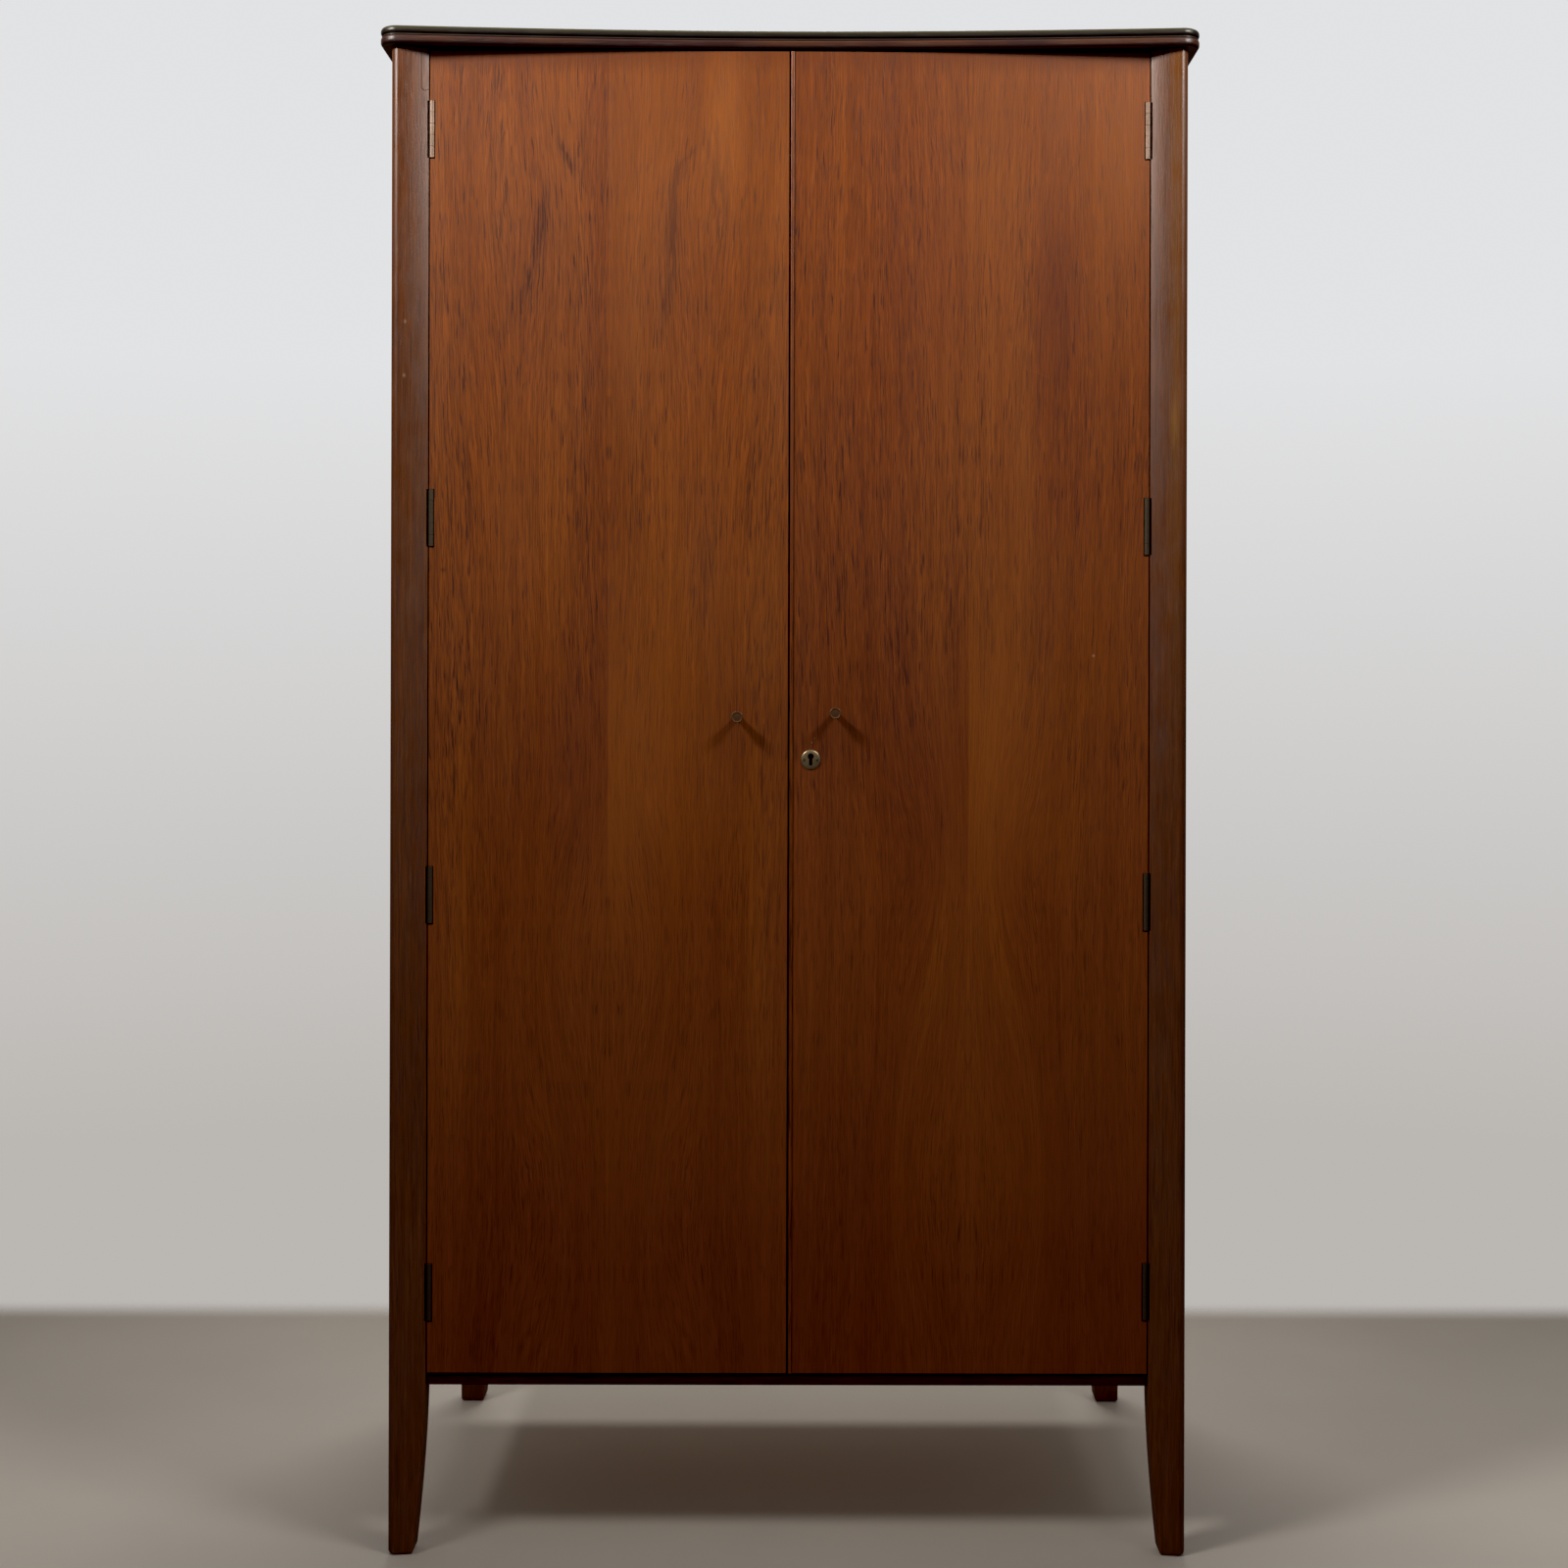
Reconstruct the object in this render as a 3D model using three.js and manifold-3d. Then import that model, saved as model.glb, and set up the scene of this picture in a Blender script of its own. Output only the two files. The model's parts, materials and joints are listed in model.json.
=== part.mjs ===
// Two-door wardrobe: frame-and-panel carcass on tapered legs, two inset doors on butt hinges,
// a hat shelf and a hanging rail inside. Millimetres. The origin is on the floor under the middle
// of the top; +X is to the right of someone facing the doors, -Y is towards them, +Z is up.
import * as THREE from 'three';
import { mergeVertices } from 'three/addons/utils/BufferGeometryUtils.js';
import Module from 'manifold-3d';

const wasm = await Module();
wasm.setup();

// ---------- driving dimensions ----------
const FIT = 0.3;                       // left between pieces that touch
const WIDTH = 914;
const DEPTH = 559;
const HEIGHT = 1700;

const TOP = {
  thickness: 20,
  cornerRadius: 20,
  frontSag: 17.5,                      // how far the front edge bows in at the middle
  sagPower: 1.75,
  sideOverhang: 13,
  frontOverhang: 22,                   // corner of the top to the door faces
};
const CARCASS = {
  halfWidth: WIDTH / 2 - TOP.sideOverhang,
  underTop: HEIGHT - TOP.thickness,
  bottom: 185,                         // underside of the carcass, where the legs begin
  doorFaceY: -DEPTH / 2 + TOP.frontOverhang,
  backY: DEPTH / 2 - 12,
};
const POST = { width: 40, depth: 38, backDepth: 40, noseProud: 12.5, noseRadius: 8, backRadius: 4 };
const LEG = { frontFoot: [28, 29], backFoot: [30, 32], taperPower: 1.6, edgeRound: 4, rings: 7 };
const SIDE = { thickness: 16, recess: 5 };
const BACK = { thickness: 5, inset: 5 };
const DOOR = { thickness: 20, sideGap: 1.5, centreGap: 2, topGap: 2, bottomGap: 1.6 };
const STOP = { depth: 24, lap: 13, underHeight: 13, faceBack: 2.5 };
const RAIL_THICKNESS = 22;
const FLOOR_BOARD = { thickness: 16, top: 211 };

const HINGE = {
  length: 63.5,
  knuckles: 5,
  barrelRadius: 3.2,
  boreRadius: 1.8,
  pinRadius: 1.4,
  leafThickness: 1.2,
  leafDepth: 17,
  pinInward: 3.6,                      // pin axis, in from the post
  pinBehindFace: 1,
  frameHeights: { left: [289.3, 733.7, 1155.3, 1589.8], right: [291.3, 727.4, 1147.6, 1590.5] },
};
const KNOB = { left: [-57, 933.5], right: [52, 938], faceRadius: 6.5, projection: 22, screwRadius: 1.5 };
const LOCK = {
  x: 24.9,
  z: 886,
  escutcheonRadius: 11,
  pinOffset: 7.3,
  caseWidth: 41,
  caseDepth: 12,
  plateThickness: 1.5,
  plateHalfHeight: 20,
};
const KEYHOLE = { headRadius: 3.2, headRise: 3.6, slotHalfWidth: 1.75, slotDrop: 7 };
const SHELF = { z: 1468, thickness: 16, frontY: -185, backY: 227 };
const CLEAT = { width: 15, height: 20, frontInset: 5, backInset: 7 };
const HANGING_RAIL = { z: 1408, y: 10, radius: 11, wall: 1.5, endGap: 4 };
const SOCKET = { flangeRadius: 24, flangeThickness: 2.4, wall: 3, depth: 13, floor: 3 };
const SLIP_BOLT = {
  x: -24,
  travel: 10,
  length: 60,
  width: 8,
  thickness: 5,
  standOff: 3,                         // bar, from the back of the door
  tipOut: 6,                           // bar's tip, out of its case
  caseHalfWidth: 11,
  slotHalfWidth: 3,
};
const HOLE_PLAY = 0.6;                  // round a slip bolt in the rail that it shoots into

// ---------- derived places ----------
const { halfWidth, underTop, bottom, doorFaceY, backY } = CARCASS;
const noseY = doorFaceY - POST.noseProud;
const postInner = halfWidth - POST.width;
const panelInner = halfWidth - SIDE.recess - SIDE.thickness;
const doorBackY = doorFaceY + DOOR.thickness;
const doorBottom = bottom + STOP.underHeight + DOOR.bottomGap;
const doorTop = underTop - DOOR.topGap;
const stopFrontY = doorBackY + 1;
const stopBackY = stopFrontY + STOP.depth;
const backPostFrontY = backY - POST.backDepth;
const pinX = postInner - HINGE.pinInward;
const pinY = doorFaceY + HINGE.pinBehindFace;

// ---------- materials ----------
const finish = (color, roughness, metalness = 0) => new THREE.MeshStandardMaterial({
  color, roughness, metalness,
});
const MATERIALS = {
  doorTeak: () => finish(0x8a4a24, 0.42),
  solidTeak: () => finish(0x6e3c1e, 0.4),
  topTeak: () => finish(0x4a2a18, 0.38),
  innerWood: () => finish(0xa9794c, 0.6),
  plywood: () => finish(0xb08a5c, 0.7),
  brass: () => finish(0x8c7440, 0.38, 1),
  steel: () => finish(0xa8a6a0, 0.3, 1),
};

// ---------- geometry helpers ----------
const group = new THREE.Group();

function addPart(name, geometry, material) {
  geometry.computeVertexNormals();
  const mesh = new THREE.Mesh(geometry, material());
  mesh.name = name;
  group.add(mesh);
  return mesh;
}

function toSolid(geometry) {
  const bare = geometry.clone();
  bare.deleteAttribute('normal');
  bare.deleteAttribute('uv');
  const merged = mergeVertices(bare, 1e-4);
  return new wasm.Manifold(new wasm.Mesh({
    numProp: 3,
    vertProperties: new Float32Array(merged.attributes.position.array),
    triVerts: new Uint32Array(merged.index.array),
  }));
}

function fromSolid(solid) {
  const mesh = solid.getMesh();
  const geometry = new THREE.BufferGeometry();
  geometry.setAttribute('position', new THREE.BufferAttribute(mesh.vertProperties, 3));
  geometry.setIndex(new THREE.BufferAttribute(mesh.triVerts, 1));
  return geometry;
}

const cut = (base, ...tools) => fromSolid(
  tools.reduce((solid, tool) => solid.subtract(toSolid(tool)), toSolid(base)),
);
const join = (base, ...pieces) => fromSolid(
  pieces.reduce((solid, piece) => solid.add(toSolid(piece)), toSolid(base)),
);

// A box between two opposite corners; either order of each pair will do.
function box([x0, x1], [y0, y1], [z0, z1]) {
  const size = [x1 - x0, y1 - y0, z1 - z0].map(Math.abs);
  return new THREE.BoxGeometry(...size)
    .translate((x0 + x1) / 2, (y0 + y1) / 2, (z0 + z1) / 2);
}

// A rod along Z between two heights.
function rodZ(radius, x, y, z0, z1, sides = 12) {
  return new THREE.CylinderGeometry(radius, radius, z1 - z0, sides)
    .rotateX(Math.PI / 2)
    .translate(x, y, (z0 + z1) / 2);
}

// A turned solid from [radius, distance] points, in either order, about the Y direction.
function turned(profile, sides) {
  const points = profile.map(([radius, distance]) => new THREE.Vector2(radius, distance));
  if (THREE.ShapeUtils.area(points) < 0) points.reverse();
  return new THREE.LatheGeometry(points, sides);
}

// Turned about Y through (x, z), with distance along +Y from y.
const turnedY = (profile, x, y, z, sides = 20) => turned(profile, sides).translate(x, y, z);

// Turned about X, with distance along +X times side from x.
const turnedX = (profile, x, y, z, side, sides = 20) => turned(profile, sides)
  .rotateZ(-side * Math.PI / 2)
  .translate(x, y, z);

// A closed skin over plan outlines at rising heights; every outline has the same point count.
function loft(sections) {
  const clockwise = THREE.ShapeUtils.isClockWise(sections[0].outline);
  const rings = sections.map(({ z, outline }) => ({
    z,
    outline: clockwise ? [...outline].reverse() : outline,
  }));
  const count = rings[0].outline.length;
  const positions = rings.flatMap(({ z, outline }) => outline.flatMap((p) => [p.x, p.y, z]));
  const indices = [];
  for (let ring = 0; ring < rings.length - 1; ring += 1) {
    for (let i = 0; i < count; i += 1) {
      const a = ring * count + i;
      const b = ring * count + (i + 1) % count;
      indices.push(a, b, b + count, a, b + count, a + count);
    }
  }
  const topStart = (rings.length - 1) * count;
  for (const [a, b, c] of THREE.ShapeUtils.triangulateShape(rings[0].outline, [])) {
    indices.push(a, c, b);
  }
  for (const [a, b, c] of THREE.ShapeUtils.triangulateShape(rings.at(-1).outline, [])) {
    indices.push(topStart + a, topStart + b, topStart + c);
  }
  const geometry = new THREE.BufferGeometry();
  geometry.setAttribute('position', new THREE.Float32BufferAttribute(positions, 3));
  geometry.setIndex(indices);
  return geometry;
}

const arcPoints = (cx, cy, radius, from, to, steps) => Array.from({ length: steps + 1 }, (_, i) => {
  const angle = from + (to - from) * i / steps;
  return new THREE.Vector2(cx + radius * Math.cos(angle), cy + radius * Math.sin(angle));
});

// ---------- top board ----------
// Plan outline drawn in by `inset` along the front and sides; the back edge stays square.
function topOutline(inset) {
  const half = WIDTH / 2 - inset;
  const radius = TOP.cornerRadius - inset;
  const front = -DEPTH / 2 + inset;
  const flatHalf = half - radius;
  const steps = 24;
  const points = [new THREE.Vector2(half, DEPTH / 2), new THREE.Vector2(-half, DEPTH / 2)];
  points.push(...arcPoints(-flatHalf, front + radius, radius, Math.PI, 1.5 * Math.PI, 5));
  for (let i = 1; i < steps; i += 1) {
    const x = -flatHalf + 2 * flatHalf * i / steps;
    const sag = TOP.frontSag * (1 - Math.abs(x / flatHalf) ** TOP.sagPower);
    points.push(new THREE.Vector2(x, front + sag));
  }
  points.push(...arcPoints(flatHalf, front + radius, radius, 1.5 * Math.PI, 2 * Math.PI, 5));
  return points;
}

function makeTop() {
  // [height above the underside, inset] up the two reeds and the groove between them
  const edge = [[0, 2.2], [1.6, 0.5], [4.5, 0], [7.6, 0.6], [9.2, 2.4], [10.6, 2.4],
    [12, 0.7], [14.8, 0], [18, 0.7], [20, 3]];
  const sections = edge.map(([rise, inset]) => ({ z: underTop + rise, outline: topOutline(inset) }));
  addPart('top_board', loft(sections), MATERIALS.topTeak);
}

// ---------- posts ----------
// Post outline in its own (inward, back-from-nose) directions, trimmed to width and depth.
function frontPostOutline(width, depth) {
  const { noseRadius: r, noseProud } = POST;
  const faceAt = (u) => {
    const t = (u - r) / (POST.width - r);
    return noseProud * (0.64 * t + 0.36 * t * t);
  };
  const nose = arcPoints(r, r, r, Math.PI, 1.5 * Math.PI, 4);
  const face = [0.25, 0.5, 0.75, 1].map((t) => {
    const u = r + (width - r) * t;
    return new THREE.Vector2(u, faceAt(u));
  });
  return [new THREE.Vector2(0, depth), ...nose, ...face, new THREE.Vector2(width, depth)];
}

function backPostOutline(width, depth) {
  const r = POST.backRadius;
  return [
    new THREE.Vector2(0, depth),
    ...arcPoints(r, r, r, Math.PI, 1.5 * Math.PI, 3),
    new THREE.Vector2(width, 0),
    new THREE.Vector2(width, depth),
  ];
}

// Shrinks an outline evenly about its middle, for the eased edge of a foot.
function easeOutline(outline, width, depth, inset) {
  const scale = new THREE.Vector2(1 - 2 * inset / width, 1 - 2 * inset / depth);
  const middle = new THREE.Vector2(width / 2, depth / 2);
  return outline.map((p) => p.clone().sub(middle).multiply(scale).add(middle));
}

// side is -1 for the left posts and +1 for the right; end is -1 for front and +1 for back.
function postGeometry(side, end) {
  const front = end < 0;
  const outlineOf = front ? frontPostOutline : backPostOutline;
  const full = [POST.width, front ? POST.depth : POST.backDepth];
  const foot = front ? LEG.frontFoot : LEG.backFoot;
  const originY = front ? noseY : backY;
  const place = (p) => new THREE.Vector2(side * (halfWidth - p.x), originY - end * p.y);
  const sizeAt = (z) => {
    const fall = Math.max(0, (bottom - z) / bottom) ** LEG.taperPower;
    return full.map((value, i) => value + (foot[i] - value) * fall);
  };
  const section = (z, inset = 0) => {
    const [width, depth] = sizeAt(z);
    const outline = easeOutline(outlineOf(width, depth), width, depth, inset);
    return { z, outline: outline.map(place) };
  };
  const round = LEG.edgeRound;
  const sections = [section(0, round * 0.8), section(round * 0.3, round * 0.25), section(round)];
  for (let i = 1; i <= LEG.rings; i += 1) {
    sections.push(section(round + (bottom - round) * i / LEG.rings));
  }
  sections.push(section(underTop - FIT));
  return loft(sections);
}

const sideOf = { left: -1, right: 1 };

function makePosts() {
  for (const [name, side] of Object.entries(sideOf)) {
    const mortises = HINGE.frameHeights[name].map((z) => box(
      [side * (postInner - 5), side * (postInner + HINGE.leafThickness + FIT)],
      [noseY, pinY + HINGE.leafDepth + FIT],
      [z - HINGE.length / 2 - FIT, z + HINGE.length / 2 + FIT],
    ));
    addPart(`front_${name}_post`, cut(postGeometry(side, -1), ...mortises), MATERIALS.solidTeak);
    addPart(`back_${name}_post`, postGeometry(side, 1), MATERIALS.solidTeak);
  }
}

// ---------- panels, rails and boards ----------
function makeCarcass() {
  const across = [-postInner + FIT, postInner - FIT];
  for (const [name, side] of Object.entries(sideOf)) {
    addPart(`${name}_side_panel`, box(
      [side * panelInner, side * (panelInner + SIDE.thickness)],
      [noseY + POST.depth + FIT, backPostFrontY - FIT],
      [bottom, underTop - FIT],
    ), MATERIALS.doorTeak);
  }
  const panelY = backY - BACK.inset;
  addPart('back_panel', box(across, [panelY - BACK.thickness, panelY], [bottom, underTop - FIT]),
    MATERIALS.plywood);

  // The lower front rail lies under the doors and steps up behind them as their stop.
  const underDoor = box(across, [doorFaceY + STOP.faceBack, stopBackY],
    [bottom, bottom + STOP.underHeight]);
  const behindDoor = box(across, [stopFrontY, stopBackY], [bottom, FLOOR_BOARD.top]);
  const boltHalf = SLIP_BOLT.width / 2 + HOLE_PLAY;
  const boltX = [SLIP_BOLT.x - boltHalf, SLIP_BOLT.x + boltHalf];
  const boltY = [doorBackY, doorBackY + SLIP_BOLT.standOff + SLIP_BOLT.thickness + HOLE_PLAY];
  const socketDepth = SLIP_BOLT.travel + 2;
  addPart('bottom_front_rail', cut(join(underDoor, behindDoor),
    box(boltX, boltY, [FLOOR_BOARD.top - socketDepth, FLOOR_BOARD.top + 5])), MATERIALS.solidTeak);

  const topRailBottom = doorTop - STOP.lap - RAIL_THICKNESS;
  addPart('top_front_rail', cut(
    box(across, [stopFrontY, stopBackY], [topRailBottom, underTop - FIT]),
    box(boltX, boltY, [topRailBottom - 5, topRailBottom + socketDepth]),
  ), MATERIALS.innerWood);

  const backRailY = [panelY - BACK.thickness - FIT - RAIL_THICKNESS, panelY - BACK.thickness - FIT];
  addPart('bottom_back_rail', box(across, backRailY, [bottom, FLOOR_BOARD.top]), MATERIALS.innerWood);
  addPart('top_back_rail', box(across, backRailY, [topRailBottom, underTop - FIT]),
    MATERIALS.innerWood);

  const floorHalf = panelInner - FIT;
  const floorBoard = box([-floorHalf, floorHalf], [stopBackY + FIT, backRailY[0] - FIT],
    [FLOOR_BOARD.top - FLOOR_BOARD.thickness, FLOOR_BOARD.top]);
  const postNotches = [-1, 1].flatMap((side) => [
    box([side * (postInner - FIT), side * halfWidth], [backPostFrontY - FIT, backY], [0, underTop]),
    box([side * (postInner - FIT), side * halfWidth], [noseY, noseY + POST.depth + FIT], [0, underTop]),
  ]);
  addPart('bottom_board', cut(floorBoard, ...postNotches), MATERIALS.innerWood);
}

// ---------- inside fittings ----------
function makeInside() {
  const shelfHalf = panelInner - FIT;
  addPart('hat_shelf', box([-shelfHalf, shelfHalf], [SHELF.frontY, SHELF.backY],
    [SHELF.z, SHELF.z + SHELF.thickness]), MATERIALS.innerWood);
  const inner = HANGING_RAIL.radius - HANGING_RAIL.wall;
  const railHalf = panelInner - HANGING_RAIL.endGap;
  const tube = [[inner, -railHalf], [HANGING_RAIL.radius, -railHalf],
    [HANGING_RAIL.radius, railHalf], [inner, railHalf], [inner, -railHalf]];
  addPart('hanging_rail', turnedX(tube, 0, HANGING_RAIL.y, HANGING_RAIL.z, 1), MATERIALS.steel);
  for (const [name, side] of Object.entries(sideOf)) {
    const wallX = side * (panelInner - FIT);
    addPart(`${name}_shelf_cleat`, box([wallX, wallX - side * CLEAT.width],
      [SHELF.frontY + CLEAT.frontInset, SHELF.backY - CLEAT.backInset],
      [SHELF.z - FIT - CLEAT.height, SHELF.z - FIT]), MATERIALS.innerWood);
    // A round cup that holds the rail's end, with a flange against the side panel.
    const bore = HANGING_RAIL.radius + FIT;
    const outer = bore + SOCKET.wall;
    const cup = [[0, 0], [SOCKET.flangeRadius, 0], [SOCKET.flangeRadius, SOCKET.flangeThickness],
      [outer, SOCKET.flangeThickness + 1.6], [outer, SOCKET.depth], [bore, SOCKET.depth],
      [bore, SOCKET.floor], [0, SOCKET.floor]];
    addPart(`${name}_rail_socket`,
      turnedX(cup, wallX, HANGING_RAIL.y, HANGING_RAIL.z, -side), MATERIALS.steel);
  }
}

// ---------- doors ----------
// A keyhole: round head above a narrow slot, cut right through along Y.
function keyhole(y0, y1) {
  const { headRadius, headRise, slotHalfWidth, slotDrop } = KEYHOLE;
  const head = new THREE.CylinderGeometry(headRadius, headRadius, y1 - y0, 14)
    .translate(LOCK.x, (y0 + y1) / 2, LOCK.z + headRise);
  const slot = box([LOCK.x - slotHalfWidth, LOCK.x + slotHalfWidth], [y0, y1],
    [LOCK.z - slotDrop, LOCK.z + headRise]);
  return [head, slot];
}

const CASE = {
  x: [DOOR.centreGap / 2, DOOR.centreGap / 2 + LOCK.caseWidth],
  y: [doorBackY - LOCK.caseDepth, doorBackY],
  z: [LOCK.z - 26, LOCK.z + 24],
};
const BOLT = { x: [1.6, 24], y: [doorFaceY + 10.5, doorFaceY + 16], z: [LOCK.z - 9, LOCK.z + 9] };
const widen = ([low, high], by) => [low - by, high + by];

function doorGeometry(name, side) {
  const edge = side * (postInner - DOOR.sideGap);
  const leaf = box([side * DOOR.centreGap / 2, edge], [doorFaceY, doorBackY], [doorBottom, doorTop]);
  const recesses = HINGE.frameHeights[name].flatMap((z) => {
    const span = [z - HINGE.length / 2 - FIT, z + HINGE.length / 2 + FIT];
    return [
      box([side * (pinX - HINGE.barrelRadius - 0.5), edge + side],
        [doorFaceY - 5, pinY + HINGE.barrelRadius + 0.4], span),
      box([edge - side * (HINGE.leafThickness + FIT + 0.1), edge + side],
        [doorFaceY - 5, pinY + HINGE.leafDepth + FIT], span),
    ];
  });
  const [knobX, knobZ] = KNOB[name];
  const holeRadius = KNOB.screwRadius + 0.8;
  const knobHole = turnedY([[0, -5], [holeRadius, -5], [holeRadius, DOOR.thickness + 10],
    [0, DOOR.thickness + 10]], knobX, doorFaceY, knobZ, 10);
  return { leaf, cuts: [...recesses, knobHole] };
}

function makeDoors() {
  const left = doorGeometry('left', -1);
  const plateFaceX = -DOOR.centreGap / 2;
  const plateX = [plateFaceX - LOCK.plateThickness, plateFaceX];
  const plateY = [doorFaceY + 6, doorBackY - 1];
  const plateZ = [LOCK.z - LOCK.plateHalfHeight, LOCK.z + LOCK.plateHalfHeight];
  const mortise = box([-12, 5], widen(BOLT.y, 1), widen(BOLT.z, 1));
  const plateSeat = box([plateX[0] - FIT, 5], widen(plateY, FIT), widen(plateZ, FIT));
  addPart('left_door', cut(left.leaf, ...left.cuts, mortise, plateSeat), MATERIALS.doorTeak);
  addPart('strike_plate', cut(box(plateX, plateY, plateZ), mortise), MATERIALS.brass);

  const right = doorGeometry('right', 1);
  const beadSeat = box([0, 5.3], [doorFaceY - 5, doorFaceY + 4.3], [doorBottom - 5, doorTop + 5]);
  const casePocket = box([0, CASE.x[1] + FIT], [CASE.y[0] - FIT, doorBackY + 5], widen(CASE.z, FIT));
  const pins = [-1, 1].map((s) => turnedY([[0, -5], [1, -5], [1, 7], [0, 7]],
    LOCK.x + s * LOCK.pinOffset, doorFaceY, LOCK.z, 8));
  addPart('right_door', cut(right.leaf, ...right.cuts, beadSeat, casePocket,
    ...keyhole(doorFaceY - 5, doorFaceY + 12), ...pins), MATERIALS.doorTeak);

  // Half-round bead let into the meeting edge of the right door.
  const beadPlan = [[1, 4], [1, 0.2], [1.5, -0.9], [3, -1.5], [4.5, -0.9], [5, 0.2], [5, 4]]
    .map(([x, y]) => new THREE.Vector2(x, doorFaceY + y));
  addPart('meeting_bead', loft([{ z: doorBottom, outline: beadPlan }, { z: doorTop, outline: beadPlan }]),
    MATERIALS.solidTeak);
}

// ---------- hinges ----------
function makeHinge(name, side, number, z) {
  const prefix = `${name}_hinge_${number}`;
  const low = z - HINGE.length / 2;
  const pitch = HINGE.length / HINGE.knuckles;
  const pin = side * pinX;
  const { barrelRadius, leafThickness, leafDepth } = HINGE;
  const bore = rodZ(HINGE.boreRadius, pin, pinY, low - 1, low + HINGE.length + 1, 8);

  // Each leaf is a plate, its own knuckles, and a short web that joins them.
  const leafOf = (plateX, plateY, webY, first) => {
    const pieces = [];
    for (let i = first; i < HINGE.knuckles; i += 2) {
      const span = [low + i * pitch + (i > 0 ? FIT / 2 : 0), low + (i + 1) * pitch - FIT / 2];
      pieces.push(rodZ(barrelRadius, pin, pinY, ...span));
      pieces.push(box([plateX[0], plateX[1]], webY, span));
      if (first === 0) pieces.push(box([plateX[0], pin], [pinY + 1.9, pinY + 2.9], span));
    }
    const plate = box(plateX, plateY, [low, low + HINGE.length]);
    return cut(join(plate, ...pieces), bore);
  };
  const frameX = [side * postInner, side * (postInner + leafThickness)];
  const doorX = [side * (postInner - DOOR.sideGap), side * (postInner - DOOR.sideGap - leafThickness)];
  const plateStart = pinY + barrelRadius + 0.5;
  addPart(`${prefix}_frame_leaf`, leafOf(frameX, [pinY + 1.9, pinY + leafDepth],
    [pinY + 1.9, pinY + leafDepth], 0), MATERIALS.brass);
  addPart(`${prefix}_door_leaf`, leafOf(doorX, [plateStart, pinY + leafDepth],
    [pinY, plateStart + 1], 1), MATERIALS.brass);
  addPart(`${prefix}_pin`, rodZ(HINGE.pinRadius, pin, pinY, low, low + HINGE.length, 12),
    MATERIALS.steel);
}

function makeHinges() {
  for (const [name, side] of Object.entries(sideOf)) {
    HINGE.frameHeights[name].forEach((z, i) => makeHinge(name, side, i + 1, z));
  }
}

// ---------- knobs, lock and slip bolts ----------
function makeKnobs() {
  // [radius, distance from the door] from the neck to the ringed face, with a blind screw hole
  const reach = KNOB.projection;
  const profile = [[1.9, 0.2], [4.2, 0.2], [3.6, 4], [4, 10], [5.6, reach - 3.5],
    [KNOB.faceRadius, reach - 1.6], [KNOB.faceRadius, reach - 0.6], [5.4, reach],
    [4.4, reach - 0.8], [0, reach - 0.8], [0, 8], [1.9, 8], [1.9, 0.2]];
  for (const name of Object.keys(sideOf)) {
    const [x, z] = KNOB[name];
    const outwards = profile.map(([radius, distance]) => [radius, -distance]);
    addPart(`${name}_knob`, turnedY(outwards, x, doorFaceY, z), MATERIALS.brass);
    const tip = -DOOR.thickness - 7;
    const screw = [[0, tip], [KNOB.screwRadius, tip], [KNOB.screwRadius, 0], [4, 0], [3.2, 1.8], [0, 2.2]];
    addPart(`${name}_knob_screw`, turnedY(screw, x, doorBackY + 0.2, z, 12), MATERIALS.steel);
  }
}

function makeLock() {
  const face = doorFaceY - 0.2;
  const r = LOCK.escutcheonRadius;
  const dome = [[0, 0], [r, 0], [r, -0.5], [r - 2.5, -1.6], [r - 6, -2.3], [0, -2.5]];
  const pinHoles = [-1, 1].map((s) => turnedY([[0, -6], [0.9, -6], [0.9, 3], [0, 3]],
    LOCK.x + s * LOCK.pinOffset, face, LOCK.z, 8));
  addPart('escutcheon', cut(turnedY(dome, LOCK.x, face, LOCK.z, 28),
    ...keyhole(face - 5, face + 5), ...pinHoles), MATERIALS.brass);
  for (const [name, side] of Object.entries(sideOf)) {
    const nail = [[0, 6], [0.6, 6], [0.6, -2.3], [1.3, -2.4], [1, -2.9], [0, -3.1]];
    addPart(`escutcheon_${name}_pin`,
      turnedY(nail, LOCK.x + side * LOCK.pinOffset, face, LOCK.z, 10), MATERIALS.brass);
  }
  const channel = box([-5, BOLT.x[1] + FIT], widen(BOLT.y, FIT), widen(BOLT.z, FIT));
  addPart('lock_case', cut(box(CASE.x, CASE.y, CASE.z), channel,
    ...keyhole(doorFaceY, BOLT.y[0])), MATERIALS.steel);
  addPart('lock_bolt', box(BOLT.x, BOLT.y, BOLT.z), MATERIALS.brass);
}

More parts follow.
